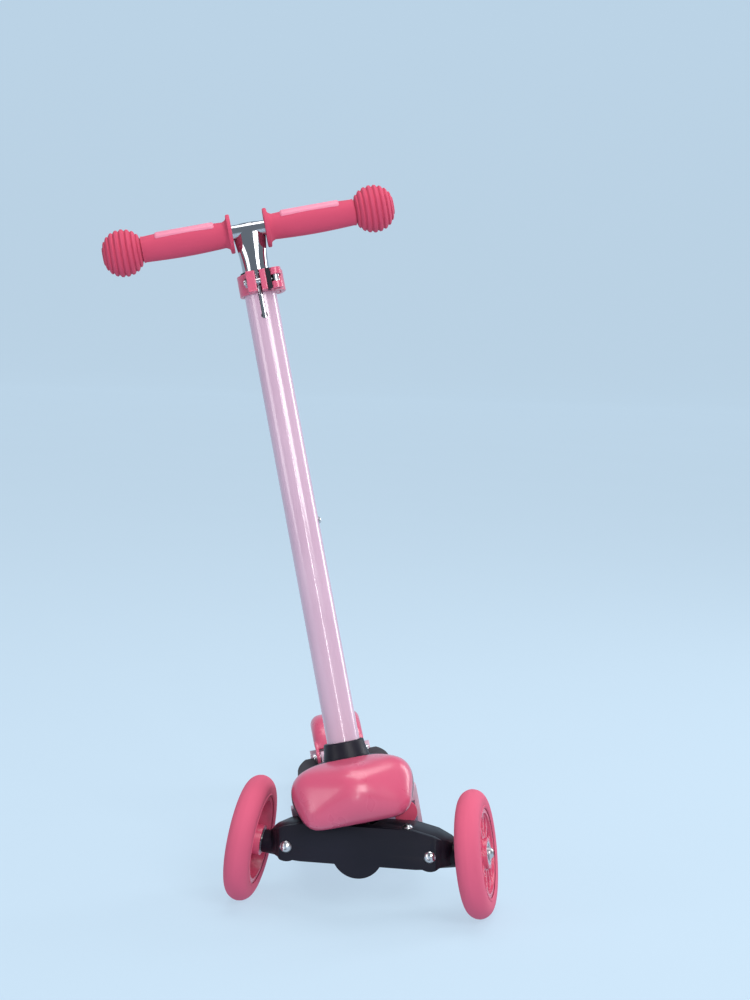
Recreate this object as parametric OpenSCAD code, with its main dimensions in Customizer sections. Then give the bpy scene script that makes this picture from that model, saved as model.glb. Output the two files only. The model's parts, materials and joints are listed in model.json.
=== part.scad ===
// Three-wheeled lean-to-steer kick scooter for a small child.
// Millimetres, +Z up, front towards -Y, rider's left towards +X, standing on Z = 0.
// The scooter is drawn as it stands by itself: leaned over onto its steering stop.

/* [Lean and steering] */
// Turn of the chassis about the steering axis when it rests on its stop, degrees
lean = 18.5; // [4:0.5:20]
// Angle of the steering axis above the ground, degrees
steer_incline = 52; // [46:1:58]
// Height of the steering pivot above the front axle
pivot_rise = 3; // [0:0.5:6]
// Diameter of the kingpin
kingpin_d = 8; // [7:0.5:9]
// Length of the beam's boss along the steering axis
boss_len = 34; // [30:1:36]

/* [Front wheels] */
// Diameter of a front wheel
front_wheel_d = 120; // [110:1:140]
// Width of a front tyre
front_tyre_w = 24; // [20:1:28]
// Outer diameter of a front wheel's hub
front_hub_d = 83; // [70:1:90]
// Distance between the front wheels at axle height
track = 216; // [205:1:260]
// Inward lean of each front wheel, degrees
camber = 8; // [0:1:9]
// Number of windows in a front hub
window_count = 10; // [6:1:12]

/* [Rear wheel] */
// Diameter of the rear wheel
rear_wheel_d = 80; // [70:1:90]
// Width of the rear tyre
rear_tyre_w = 24; // [20:1:28]
// Outer diameter of the rear wheel's hub
rear_hub_d = 52; // [44:1:56]
// Distance between the front and rear axles
wheelbase = 434; // [380:1:520]

/* [Axles and bearings] */
// Diameter of every wheel axle
axle_d = 8; // [6:0.5:8]
// Outer diameter of a wheel bearing
bearing_od = 22; // [20:0.5:24]
// Width of a wheel bearing
bearing_w = 7; // [6:0.5:8]
// Length of the spacer tube between a wheel's two bearings
spacer_len = 10; // [8:0.5:10]

/* [Front beam] */
// Front face of the beam, ahead of the axle
beam_front = 26; // [24:1:30]
// Rear face of the beam, behind the axle
beam_rear = 10; // [8:1:12]
// Thickness of the beam's front plate
face_t = 6; // [4:0.5:8]
// Top of the beam above the axle
beam_rise = 25; // [20:1:28]
// Underside of the beam below the axle
beam_drop = 12; // [10:1:14]
// Distance of each face bolt from the middle
bolt_x = 68; // [60:1:74]
// Radius of the round belly at the middle of the beam
belly_r = 24.5; // [20:0.5:28]

/* [Deck] */
// Width of the deck at its front
deck_w = 121; // [110:1:126]
// Width of the deck ahead of the rear wheel
deck_tail_w = 104; // [94:1:110]
// Height of the deck's moulding above the ground
deck_top = 43; // [40:1:50]
// Height of the deck's underside above the ground
deck_bottom = 22; // [16:1:26]
// Wall of the deck
deck_wall = 4; // [3:0.5:6]
// Thickness of the grip mat on the deck
mat_t = 3; // [2:0.5:4]
// Front wall of the deck, behind the axle
deck_front_y = 33; // [31:1:38]
// Height of the deck's neck, behind the beam
neck_top = 98; // [90:1:102]

/* [Column] */
// Backward rake of the column, degrees
rake = 10.4; // [6:0.2:14]
// Outer diameter of the column
column_d = 31; // [28:0.5:34]
// Wall of the column
column_wall = 1.6; // [1.2:0.1:2]
// Foot of the column, along its own axis from the axis's foot point
column_foot = 48; // [46:1:56]
// Top of the column, along its own axis
column_top = 546; // [440:1:660]
// Width of the slot that lets the clamp squeeze the column
slot_w = 4.4; // [3:0.2:6]
// Length of the slot below the column's top
slot_len = 43; // [38:1:60]

/* [Handlebar] */
// Diameter of the sliding stem
stem_d = 26; // [23:0.5:29]
// Wall of the stem
stem_wall = 1.6; // [1.2:0.1:2]
// Height that the handlebar can be raised by
raise = 170; // [60:5:180]
// Diameter of the cross tube
bar_d = 16; // [14:0.5:20]
// Distance of each grip's end ball from the middle
ball_x = 122; // [105:1:150]
// Diameter of a grip's end ball
ball_d = 46; // [40:1:50]
// Diameter of a grip where the hand holds it
grip_d = 27; // [24:0.5:30]
// Diameter of a grip's inner flange
flange_d = 38; // [34:1:42]

/* [Clamp] */
// Height of the clamp along the column
clamp_h = 20; // [18:1:24]
// Wall of the clamp ring
clamp_wall = 4; // [3:0.5:5]

/* [Brake] */
// Width of the rear fender
fender_w = 56; // [50:1:60]
// Wall of the fender
fender_t = 4; // [3:0.5:5]
// Room between the rear tyre and the brake plate
brake_gap = 5; // [4:0.5:7]
// Thickness of the steel brake plate
plate_t = 1.2; // [1:0.1:2]

/* [Hidden] */

$fn = 64;
EPS = 0.01;
FAR = 400;
PINK = [0.76, 0.25, 0.38];
PALE = [0.84, 0.72, 0.78];
BLACK = [0.09, 0.08, 0.14];
STEEL = [0.70, 0.72, 0.75];
CHROME = [0.85, 0.87, 0.90];
RUBBER = [0.15, 0.15, 0.16];
BRONZE = [0.72, 0.55, 0.32];

run_gap = 0.05;        // radial clearance of every running fit
seat_gap = 0.1;        // play between pieces that are screwed together
body_gap = 0.3;        // least room between pieces that move past each other

front_tyre_r = front_tyre_w / 2;
rear_tyre_r = rear_tyre_w / 2;
axle_r = axle_d / 2;
axle_z = (front_wheel_d / 2 - front_tyre_r) * cos(camber) + front_tyre_r;
rear_r = rear_wheel_d / 2;
hub_half = bearing_w + spacer_len / 2;            // half the length of a hub's boss
washer_t = 1;
arm_start = hub_half + washer_t + 0.1;            // inner face of the hub washer
arm_r = 11;
arm_in = arm_r - 1.3;                             // half the beam where the arm comes out
arm_len = 22;

pivot = [0, 0, axle_z + pivot_rise];
steer_dir = [0, -cos(steer_incline), sin(steer_incline)];
ear_r = 9.5;
ear_t = 5;
ear_start = boss_len / 2 + 1.3;
spine_y = 32.5;
spine_t = 6;
screw_x = 45;                 // the screws in the top of the beam
screw_y = -15;

nose_bottom = 90;
nose_gap = 0.4;
column_y = 21;                // the column axis's foot point, in the chassis's frame
column_base_z = 63;
collar_start = 75;
collar_top = 91;
socket_wall = 4;
clamp_mid = column_top - 11;
bar_s = column_top + 42;
guide_s = column_top - 244;
stem_foot_s = guide_s - raise - 26;
lug_y = -(column_d / 2 + 7);
block_out = 8;
lever_x = 16.5;

fender_in = rear_r + brake_gap + plate_t;
fender_out = fender_in + fender_t;
fork_half = rear_tyre_w / 2 + 4;
hinge_y = wheelbase - rear_r - 9;
hinge_z = deck_top + mat_t + 9;
hinge_pin_d = 5;

// Turn v by angle a about the unit vector u
function turn(u, a, v) = v * cos(a) + cross(u, v) * sin(a) + u * (u * v) * (1 - cos(a));
// Turn v by angle a about X
function tip(a, v) = [v.x, v.y * cos(a) - v.z * sin(a), v.y * sin(a) + v.z * cos(a)];

// The small tip of the chassis that keeps the rear wheel on the ground when it leans
lean_a = cos(lean) + pow(sin(steer_incline), 2) * (1 - cos(lean));
lean_b = sin(steer_incline) * cos(steer_incline) * (1 - cos(lean));
rear_drop = rear_r - pivot.z;
rear_goal = (rear_r - rear_tyre_r) * sqrt(1 - pow(cos(steer_incline) * sin(lean), 2))
    + rear_tyre_r - pivot.z;
tip_cos = lean_a * wheelbase + lean_b * rear_drop;
tip_sin = lean_a * rear_drop - lean_b * wheelbase;
trim = asin(rear_goal / norm([tip_cos, tip_sin])) - atan2(tip_sin, tip_cos);

// A chassis point and direction once the chassis has leaned, before the origin is set
function leaned_point(p) = pivot + turn(steer_dir, lean, tip(trim, p - pivot));
// A point on the column's own axes, in the chassis's frame
function column_point(p) = [0, column_y, column_base_z] + tip(-rake, p);

// The origin is on the ground under the middle of the leaned scooter's box
ball_end = leaned_point(column_point([-ball_x, 0, bar_s])).x - ball_d / 2;
wheel_end = track / 2 + (front_wheel_d / 2 - front_tyre_r) * sin(camber) + front_tyre_r;
fender_end = 25;
tail_end = leaned_point([0, wheelbase + fender_out * cos(fender_end),
    rear_r + fender_out * sin(fender_end)]).y;
frame_shift = [-(ball_end + wheel_end) / 2, -(tail_end - front_wheel_d / 2) / 2, 0];

// Frames ------------------------------------------------------------------------------

module truck_frame() {
    translate(frame_shift) children();
}

module about_steer(a) {
    translate(pivot) rotate(a = a, v = steer_dir) translate(-pivot) children();
}

// Steering axis along Z, its clear side towards +Y
module steer_axis() {
    translate(pivot) rotate([90 - steer_incline, 0, 0]) children();
}

module leaned_frame() {
    truck_frame() about_steer(lean) children();
}

module trimmed(a = trim) {
    translate(pivot) rotate([a, 0, 0]) translate(-pivot) children();
}

module chassis_frame() {
    leaned_frame() trimmed() children();
}

module column_axis() {
    translate([0, column_y, column_base_z]) rotate([-rake, 0, 0]) children();
}

module column_frame() {
    chassis_frame() column_axis() children();
}

// Front wheel on the given side, its axle along X with the outer side at +X
module at_front_wheel(side) {
    translate([side * track / 2, 0, axle_z]) rotate([0, -side * camber, 0])
        mirror([side < 0 ? 1 : 0, 0, 0]) children();
}

module at_rear_wheel() {
    translate([0, wheelbase, rear_r]) children();
}

module both_sides() {
    children();
    mirror([1, 0, 0]) children();
}

// Common shapes -----------------------------------------------------------------------

// Cylinder along X from x0 to x1
module rod_x(x0, x1, r) {
    translate([x0, 0, 0]) rotate([0, 90, 0]) cylinder(h = x1 - x0, r = r);
}

// Cylinder along Y from y0 to y1
module rod_y(y0, y1, r) {
    translate([0, y0, 0]) rotate([-90, 0, 0]) cylinder(h = y1 - y0, r = r);
}

module hex_nut(across, h, bore_r) {
    difference() {
        cylinder(h = h, d = across / cos(30), $fn = 6);
        translate([0, 0, -1]) cylinder(h = h + 2, r = bore_r);
    }
}

module ring(r_out, r_in, h) {
    difference() {
        cylinder(h = h, r = r_out);
        translate([0, 0, -1]) cylinder(h = h + 2, r = r_in);
    }
}

module box(low, high) {
    translate(low) cube(high - low);
}

// Button head with a hex socket, its face up at z = 0, growing to z = h
module button_head(d, h, socket) {
    difference() {
        rotate_extrude() intersection() {
            translate([0, h - pow(d, 2) / (8 * h) - h / 2]) circle(r = pow(d, 2) / (8 * h) + h / 2);
            square([d / 2, h]);
        }
        translate([0, 0, h * 0.35]) cylinder(h = h, d = socket / cos(30), $fn = 6);
    }
}

// Front beam --------------------------------------------------------------------------

// A right-hand outline, top to bottom, and its mirror image as one closed outline
function both_halves(side) = concat(side, [for (i = [len(side) - 1 : -1 : 0]) [-side[i].x, side[i].y]]);

module beam_outline() {
    polygon(both_halves([
        [bolt_x - 18, beam_rise], [bolt_x + 3, beam_rise - 5], [bolt_x + 15, arm_r + 3],
        [track / 2 - 20, arm_in], [track / 2 - 20, -arm_in], [bolt_x + 13, -arm_in],
        [bolt_x - 13, -beam_drop]
    ]));
}

module beam_plan() {
    polygon(both_halves([
        [bolt_x + 6, -beam_front], [track / 2 - 22, -arm_in], [track / 2 - 22, arm_in],
        [bolt_x + 14, arm_in], [bolt_x + 2, beam_rear]
    ]));
}

// The beam's outline between two depths, rounded back towards the wheels
module beam_block(y0, y1) {
    intersection() {
        translate([0, 0, axle_z]) {
            translate([0, y1, 0]) rotate([90, 0, 0]) linear_extrude(y1 - y0) beam_outline();
            rod_y(y0, y1, belly_r);
            both_sides() translate([bolt_x, 0, 1]) rod_y(y0, y1, beam_drop + 2);
        }
        linear_extrude(FAR) beam_plan();
    }
}

// Room in the beam for the steering bracket's ears, fanned out over the whole lean
module ear_room() {
    room_r = ear_r + 0.6;
    upper = ear_t + 3;
    lower = 60;
    step = 0.5;
    steer_axis() {
        translate([0, 0, boss_len / 2]) cylinder(h = upper, r = room_r);
        translate([0, 0, -boss_len / 2 - lower]) cylinder(h = lower, r = room_r);
        translate([0, 0, boss_len / 2 + step]) linear_extrude(upper) ear_fan(room_r - 0.3);
        translate([0, 0, -boss_len / 2 - step - lower]) linear_extrude(lower) ear_fan(room_r - 0.3);
    }
}

module ear_fan(half) {
    reach = 60;
    a = lean + 1;
    polygon(both_halves([
        [half * cos(a) + reach * sin(a), reach * cos(a) - half * sin(a)],
        [half * cos(a), -half * sin(a)]
    ]));
}

module beam_bolt_holes(r) {
    both_sides() translate([bolt_x, 0, axle_z + 1]) rod_y(-FAR / 4, FAR / 4, r);
}

module beam_body() {
    color(BLACK) truck_frame() difference() {
        union() {
            difference() {
                beam_block(face_t - beam_front, beam_rear);
                ear_room();
            }
            steer_axis() translate([0, 0, -boss_len / 2]) cylinder(h = boss_len, r = kingpin_d / 2 + 6.5);
            for (side = [-1, 1]) at_front_wheel(side)
                rod_x(-arm_start - arm_len, -arm_start, arm_r);
        }
        truck_cut_front();
        steer_axis() cylinder(h = boss_len + 20, r = kingpin_d / 2 + 3,
            center = true);
        beam_bolt_holes(3 + seat_gap);
        both_sides() translate([bolt_x, 0, axle_z + 1]) rotate([-90, 0, 0])
            translate([0, 0, beam_rear - 5]) cylinder(h = 20, d = 10.4 / cos(30), $fn = 6);
        beam_screw_holes();
        for (side = [-1, 1]) at_front_wheel(side) {
            rod_x(-arm_start - arm_len - 2, 0, axle_r + seat_gap);
            rotate([0, -90, 0]) translate([0, 0, arm_start + 12])
                cylinder(h = FAR / 2, d = 13.4 / cos(30), $fn = 6);
        }
    }
}

// Everything ahead of the joint between the beam and its front plate
module truck_cut_front() {
    box([-FAR, -FAR, 0], [FAR, face_t - beam_front, FAR]);
}

module beam_face() {
    color(BLACK) truck_frame() difference() {
        beam_block(-beam_front, face_t - beam_front);
        ear_room();
        steer_axis() cylinder(h = boss_len, r = kingpin_d / 2 + 6.6, center = true);
        beam_screw_holes();
        beam_bolt_holes(3 + seat_gap);
    }
}

module beam_bolts() {
    color(STEEL) truck_frame() both_sides() translate([bolt_x, 0, axle_z + 1]) {
        rod_y(-beam_front - EPS, beam_rear - 1, 3);
        translate([0, -beam_front, 0]) rotate([90, 0, 0]) button_head(11.5, 3.4, 4);
    }
}

module beam_nuts() {
    color(STEEL) truck_frame() both_sides() translate([bolt_x, beam_rear - 5, axle_z + 1])
        rotate([-90, 0, 0]) hex_nut(10, 5, 3 + run_gap);
}

module beam_screw_holes() {
    both_sides() translate([screw_x, screw_y, axle_z]) cylinder(h = FAR, r = 2.5 + seat_gap);
}

module top_screws() {
    color(STEEL) truck_frame() both_sides() translate([screw_x, screw_y, axle_z + beam_rise]) {
        translate([0, 0, -18]) cylinder(h = 18 + EPS, r = 2.5);
        button_head(10, 3, 4);
    }
}

module pivot_bush() {
    color(BRONZE) truck_frame() steer_axis() translate([0, 0, -boss_len / 2])
        ring(kingpin_d / 2 + 3 - EPS, kingpin_d / 2 + run_gap, boss_len);
}

module thrust_washers() {
    color(STEEL) truck_frame() steer_axis() for (m = [0, 1]) mirror([0, 0, m])
        translate([0, 0, boss_len / 2]) ring(ear_r - 1, kingpin_d / 2 + run_gap, 1);
}

module front_axles() {
    color(STEEL) truck_frame() for (side = [-1, 1]) at_front_wheel(side) {
        rod_x(-arm_start - 19, hub_half + washer_t + EPS, axle_r);
        translate([hub_half + washer_t, 0, 0]) rotate([0, 90, 0]) button_head(11, 3.8, 5);
    }
}

module arm_nuts() {
    color(STEEL) truck_frame() for (side = [-1, 1]) at_front_wheel(side)
        translate([-arm_start - 12, 0, 0]) rotate([0, -90, 0]) hex_nut(13, 6.5, axle_r + run_gap);
}

module front_washers() {
    color(STEEL) truck_frame() for (side = [-1, 1], x = [-arm_start, hub_half + 0.05])
        at_front_wheel(side) translate([x, 0, 0]) rotate([0, 90, 0])
            ring(6.5, axle_r + run_gap, washer_t - 0.05);
}

// Wheels ------------------------------------------------------------------------------

// Solid of revolution about X from a profile drawn as [radius, x]
module spun() {
    rotate([0, 90, 0]) rotate_extrude($fn = 128) children();
}

module tyre(wheel_d, tyre_w, hub_d) {
    spun() difference() {
        union() {
            translate([wheel_d / 2 - tyre_w / 2, 0]) circle(r = tyre_w / 2);
            translate([hub_d / 2, -tyre_w / 2]) square([(wheel_d - tyre_w - hub_d) / 2, tyre_w]);
        }
        translate([0, -tyre_w]) square([hub_d / 2, tyre_w * 2]);
    }
}

// Hub with a rim, a web set outwards by web_at and a boss that holds the two bearings
module hub(hub_d, tyre_w, windows, web_at) {
    rim_half = tyre_w / 2 - 1.5;
    rim_in = hub_d / 2 - 4.5;
    boss_r = bearing_od / 2 + 3.5;
    difference() {
        spun() {
            translate([rim_in, -rim_half]) square([hub_d / 2 - rim_in, rim_half * 2]);
            translate([bearing_od / 2 - 2, web_at - 3]) square([rim_in - bearing_od / 2 + 3, 6]);
            translate([bearing_od / 2 - 2, -hub_half]) square([5.5, hub_half * 2]);
        }
        rod_x(-FAR / 4, FAR / 4, bearing_od / 2 - 1.5);
        for (m = [0, 1]) mirror([m, 0, 0]) rod_x(spacer_len / 2, FAR / 4, bearing_od / 2);
        if (windows > 0) for (i = [0 : windows - 1]) rotate([i * 360 / windows, 0, 0])
            hub_window(boss_r + 1.5, rim_in - 1.5, windows);
    }
}

front_web_at = 5.5;

// Oval window between two radii, wider at its outer end
module hub_window(r_in, r_out, count) {
    small_r = (r_in + 3) * sin(180 / count) - 1.6;
    big_r = (r_out - 6) * sin(180 / count) - 2.2;
    z_in = r_in + small_r;
    z_out = r_out - big_r;
    rotate([0, 90, 0]) translate([0, 0, -20]) linear_extrude(40) {
        translate([-z_in, 0]) circle(r = small_r);
        translate([-z_out, 0]) circle(r = big_r);
        polygon([[-z_in, small_r], [-z_in, -small_r], [-z_out, -big_r], [-z_out, big_r]]);
    }
}

// Two ball bearings: outer race, shield and inner race of each
module bearings() {
    for (m = [0, 1]) mirror([m, 0, 0]) translate([spacer_len / 2, 0, 0]) rotate([0, 90, 0]) {
        ring(bearing_od / 2 - EPS, bearing_od / 2 - 2, bearing_w - EPS);
        translate([0, 0, 0.6]) ring(bearing_od / 2 - 2 - EPS, axle_r + 2 + EPS, bearing_w - 1.2);
        ring(axle_r + 2, axle_r + run_gap, bearing_w - EPS);
    }
}

module bearing_spacer() {
    translate([EPS - spacer_len / 2, 0, 0]) rotate([0, 90, 0])
        ring(axle_r + 2, axle_r + run_gap, spacer_len - 2 * EPS);
}

module left_tyre() {
    color(PINK) truck_frame() at_front_wheel(1) tyre(front_wheel_d, front_tyre_w, front_hub_d);
}

module left_hub() {
    color(PALE) truck_frame() at_front_wheel(1) hub(front_hub_d, front_tyre_w, window_count, front_web_at);
}

module left_bearings() {
    color(STEEL) truck_frame() at_front_wheel(1) bearings();
}

module left_spacer() {
    color(STEEL) truck_frame() at_front_wheel(1) bearing_spacer();
}

module right_tyre() {
    color(PINK) truck_frame() at_front_wheel(-1) tyre(front_wheel_d, front_tyre_w, front_hub_d);
}

module right_hub() {
    color(PALE) truck_frame() at_front_wheel(-1) hub(front_hub_d, front_tyre_w, window_count, front_web_at);
}

module right_bearings() {
    color(STEEL) truck_frame() at_front_wheel(-1) bearings();
}

module right_spacer() {
    color(STEEL) truck_frame() at_front_wheel(-1) bearing_spacer();
}

module rear_tyre() {
    color(PINK) chassis_frame() at_rear_wheel() tyre(rear_wheel_d, rear_tyre_w, rear_hub_d);
}

module rear_hub() {
    color(PALE) chassis_frame() at_rear_wheel() hub(rear_hub_d, rear_tyre_w, 0, 0);
}

module rear_bearings() {
    color(STEEL) chassis_frame() at_rear_wheel() bearings();
}

module rear_spacer() {
    color(STEEL) chassis_frame() at_rear_wheel() bearing_spacer();
}

module rear_axle() {
    color(STEEL) chassis_frame() at_rear_wheel() {
        rod_x(-fork_half - 19, fork_half + 12 + EPS, axle_r);
        translate([fork_half + 12, 0, 0]) rotate([0, 90, 0]) button_head(14, 4.5, 5);
    }
}

module rear_axle_nut() {
    color(STEEL) chassis_frame() at_rear_wheel() translate([-fork_half - 12, 0, 0])
        rotate([0, -90, 0]) hex_nut(13, 6.5, axle_r + run_gap);
}

// Tube washers that centre the rear wheel between the fork's arms
module rear_washers() {
    color(STEEL) chassis_frame() at_rear_wheel() both_sides() translate([hub_half + 0.1, 0, 0])
        rotate([0, 90, 0]) ring(6.5, axle_r + run_gap, fork_half - hub_half - 0.2);
}

// Deck --------------------------------------------------------------------------------

neck_end = 130;
lower_rise = 30;
tail_start = wheelbase - 64;
tail_len = 88;
tail_arc = 64;

// Smooth step from 0 at a to 1 at b
function ease(a, b, y) = y <= a ? 0 : y >= b ? 1 : (1 - cos(180 * (y - a) / (b - a))) / 2;
function deck_upper(y) = neck_top - (neck_top - deck_top) * ease(42, neck_end, y);
function deck_lower(y) = deck_bottom + lower_rise * (1 - ease(deck_front_y, neck_end, y));

// Plan of the deck: straight sides, then an elliptical tail
module deck_plan(inset = 0) {
    half = deck_w / 2 - inset;
    tail = deck_tail_w / 2 - inset;
    polygon(both_halves(concat(
        [[half, 0], [half, neck_end]],
        [for (a = [0 : 8 : tail_arc]) [tail * cos(a), tail_start + (tail_len - inset) * sin(a)]]
    )));
}

// Side view of the deck's upper surface, as a band between two offsets from it
module deck_band(y0, low, high) {
    ys = concat([for (y = [y0 : 8 : neck_end]) y], [neck_end, wheelbase + 60]);
    n = len(ys) - 1;
    rotate([90, 0, 90]) translate([0, 0, -FAR / 2]) linear_extrude(FAR) polygon(concat(
        [for (i = [0 : n]) [ys[i], deck_upper(ys[i]) + high]],
        [for (i = [n : -1 : 0]) [ys[i], low > -FAR ? deck_upper(ys[i]) + low : low]]
    ));
}

// Side view of the deck's underside: everything above it
module above_underside() {
    ys = concat([for (y = [deck_front_y : 8 : neck_end]) y], [wheelbase + 60]);
    rotate([90, 0, 90]) translate([0, 0, -FAR / 2]) linear_extrude(FAR) polygon(concat(
        [for (y = ys) [y, deck_lower(y)]],
        [[wheelbase + 60, FAR], [deck_front_y, FAR]]
    ));
}

// Slot for the rear wheel, and the room in front of it
module wheel_room() {
    box([-fork_half, wheelbase - rear_r - 5, 0], [fork_half, FAR * 2, FAR]);
}

// Room around the steering bracket and the kingpin, in the chassis's frame
module bracket_room() {
    trimmed(-trim) steer_axis() {
        box([-ear_r - 0.5, -60, -FAR / 4], [ear_r + 0.5, spine_y + spine_t, ear_start + ear_t + 0.5]);
        translate([0, 0, ear_start]) cylinder(h = 30, r = 12);
    }
}

// Space swept by the front beam as the chassis leans either way
module beam_sweep() {
    for (a = [-lean, -lean / 2, 0, lean / 2, lean]) trimmed(-trim) about_steer(a)
        box([-track / 2 + 12, -beam_front - 4.4, axle_z - belly_r],
            [track / 2 - 12, beam_rear + 1, axle_z + beam_rise + 1]);
    for (a = [-lean, 0, lean]) trimmed(-trim) about_steer(a) both_sides()
        translate([screw_x, screw_y, axle_z]) cylinder(h = beam_rise + 4, r = 7);
    trimmed(-trim) steer_axis() cylinder(h = boss_len + 2, r = ear_r + 2, center = true);
}

hinge_lug_in = fork_half + 0.5;
hinge_lug_out = fender_w / 2 - fender_t - 1.6;

module deck() {
    color(PALE) chassis_frame() difference() {
        union() {
            intersection() {
                deck_band(deck_front_y, -FAR, 0);
                linear_extrude(FAR) deck_plan();
                above_underside();
            }
            at_rear_wheel() both_sides() rod_x(fork_half, fork_half + 18, 12);
            both_sides() translate([hinge_lug_in, hinge_y, 0]) {
                translate([0, 0, hinge_z]) rod_x(0, hinge_lug_out - hinge_lug_in, 6);
                box([0, -6, deck_top - 3], [hinge_lug_out - hinge_lug_in, 6, hinge_z]);
            }
        }
        deck_cavities();
        wheel_room();
        bracket_room();
        bracket_bolt_holes(2.5);
        housing_screw_holes(2.4);
        at_rear_wheel() {
            rod_x(-FAR / 4, FAR / 4, axle_r + seat_gap);
            both_sides() rod_x(fork_half + 12, FAR / 4, 9);
        }
        translate([0, hinge_y, hinge_z]) rod_x(-FAR / 4, FAR / 4, hinge_pin_d / 2 + seat_gap);
    }
}

// Hollows under the deck between its ribs; the wall round the steering bracket stays
module deck_cavities() {
    rib = 3;
    cell = 58;
    first = 78;
    last = wheelbase - rear_r - 22;
    cells = floor((last - first) / cell);
    pitch = (last - first) / cells;
    intersection() {
        deck_band(deck_front_y, -FAR, -deck_wall);
        linear_extrude(FAR) deck_plan(deck_wall);
        union() {
            for (i = [0 : cells - 1], s = [-1, 1]) translate([s * rib / 2, first + i * pitch, 0])
                mirror([s < 0 ? 1 : 0, 0, 0]) cube([deck_w, pitch - rib, FAR]);
            both_sides() box([24, deck_front_y - 1, 0], [deck_w, first - rib, neck_top - 14]);
        }
    }
}

mat_start = deck_front_y + 48;

module deck_mat() {
    color(BLACK) chassis_frame() difference() {
        intersection() {
            deck_band(mat_start, 0, mat_t);
            linear_extrude(FAR) deck_plan(0.6);
        }
        wheel_room();
        at_rear_wheel() both_sides() rod_x(fork_half - 1, fork_half + 26, 12.3);
        both_sides() box([fork_half - 1, wheelbase + 8, 0], [fork_half + 26, FAR, FAR]);
        both_sides() box([fork_half - 1, hinge_y - 9, 0], [fender_w / 2 + 1, hinge_y + 11, FAR]);
        box([-spring_room, hinge_y - 24, 0], [spring_room, hinge_y + 20, FAR]);
    }
}

// Nose --------------------------------------------------------------------------------

// Rounded body shared by the nose cover and the housing behind it
module nose_shape(inset) {
    $fn = 32;
    hull() {
        both_sides() {
            translate([37, -29, nose_bottom + 13]) sphere(r = 14 - inset);
            translate([38, -9, 118]) sphere(r = 19 - inset);
            translate([38, -9, 123]) sphere(r = 19 - inset);
            translate([24, 10, 124]) sphere(r = 18 - inset);
            translate([14, 32, 122]) sphere(r = 16 - inset);
            translate([deck_w / 2 - 17, 30, 117]) sphere(r = 12 - inset);
            translate([deck_w / 2 - 12, 36, neck_top + 3]) sphere(r = 10 - inset);
            translate([40, 70, 80]) sphere(r = 8 - inset);
        }
        translate([0, -26, 117]) sphere(r = 26 - inset);
    }
}

// Everything ahead of the sloping joint between the cover and the housing
module ahead_of_joint(gap) {
    translate([0, -34 - gap, nose_bottom]) rotate([-40, 0, 0])
        box([-FAR, -FAR, -FAR], [FAR, 0, FAR]);
}

cover_screw = [30, -2, 112];

module nose_cover() {
    color(PINK) chassis_frame() difference() {
        union() {
            intersection() {
                difference() {
                    nose_shape(0);
                    nose_shape(2.6);
                }
                ahead_of_joint(nose_gap);
            }
            intersection() {
                nose_shape(1);
                ahead_of_joint(nose_gap);
                both_sides() translate([cover_screw.x, 0, cover_screw.z]) rod_y(-FAR / 4, FAR / 4, 5);
            }
        }
        both_sides() translate([cover_screw.x, 0, cover_screw.z]) rod_y(-22, FAR / 4, 2 + seat_gap);
        beam_sweep();
        column_axis() cylinder(h = FAR, d = column_d + 10);
    }
}

module housing_bosses() {
    both_sides() {
        for (p = housing_screw) translate([p.x, p.y, 0]) cylinder(h = FAR / 2, r = 6);
        translate([cover_screw.x, 0, cover_screw.z]) rod_y(-20, web_y + 1, 8);
    }
}

housing_screw = [[40, 50], [24, 58]];
web_y = 24;

module housing_screw_holes(r) {
    both_sides() for (p = housing_screw) translate([p.x, p.y, 50]) cylinder(h = FAR, r = r);
}

module housing() {
    color(BLACK) chassis_frame() difference() {
        union() {
            difference() {
                nose_shape(0);
                nose_shape(3.5);
            }
            intersection() {
                nose_shape(0.5);
                union() {
                    column_axis() translate([0, 0, column_foot - 2])
                        cylinder(h = FAR, r = column_d / 2 + socket_wall);
                    box([-FAR, web_y, 0], [FAR, web_y + 4, FAR]);
                    housing_bosses();
                }
            }
        }
        ahead_of_joint(0);
        deck_band(deck_front_y - 8, -FAR, 0.1);
        box([-FAR, -FAR, 0], [FAR, deck_front_y + 1, nose_bottom]);
        column_axis() {
            translate([0, 0, column_foot]) cylinder(h = FAR, r = column_d / 2 + run_gap);
            translate([0, 0, collar_start]) cylinder(h = FAR, r = column_d);
            translate([0, 0, column_foot + 14]) {
                rod_x(-FAR / 4, FAR / 4, 3 + seat_gap);
                both_sides() rod_x(column_d / 2 + socket_wall - 1, FAR / 4, 8);
            }
        }
        beam_sweep();
        bracket_room();
        bracket_bolt_holes(2.7);
        housing_screw_holes(2.6);
        both_sides() {
            for (p = housing_screw) translate([p.x, p.y, deck_upper(p.y) + 8]) cylinder(h = FAR, r = 5.2);
            translate([cover_screw.x, 0, cover_screw.z]) {
                rod_y(-FAR / 4, FAR / 4, 2 + seat_gap);
                rod_y(2, web_y + 5, 5);
            }
        }
    }
}

module cover_screws() {
    color(STEEL) chassis_frame() both_sides() translate([cover_screw.x, 0, cover_screw.z]) {
        rod_y(-19, 2 + EPS, 2);
        rod_y(2, 5, 4);
    }
}

module housing_screws() {
    color(STEEL) chassis_frame() both_sides() for (p = housing_screw)
        translate([p.x, p.y, deck_upper(p.y)]) {
            translate([0, 0, -8]) cylinder(h = 16 + EPS, r = 2.4);
            translate([0, 0, 8]) cylinder(h = 3, r = 4.6);
        }
}

// Steering ----------------------------------------------------------------------------

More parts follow.
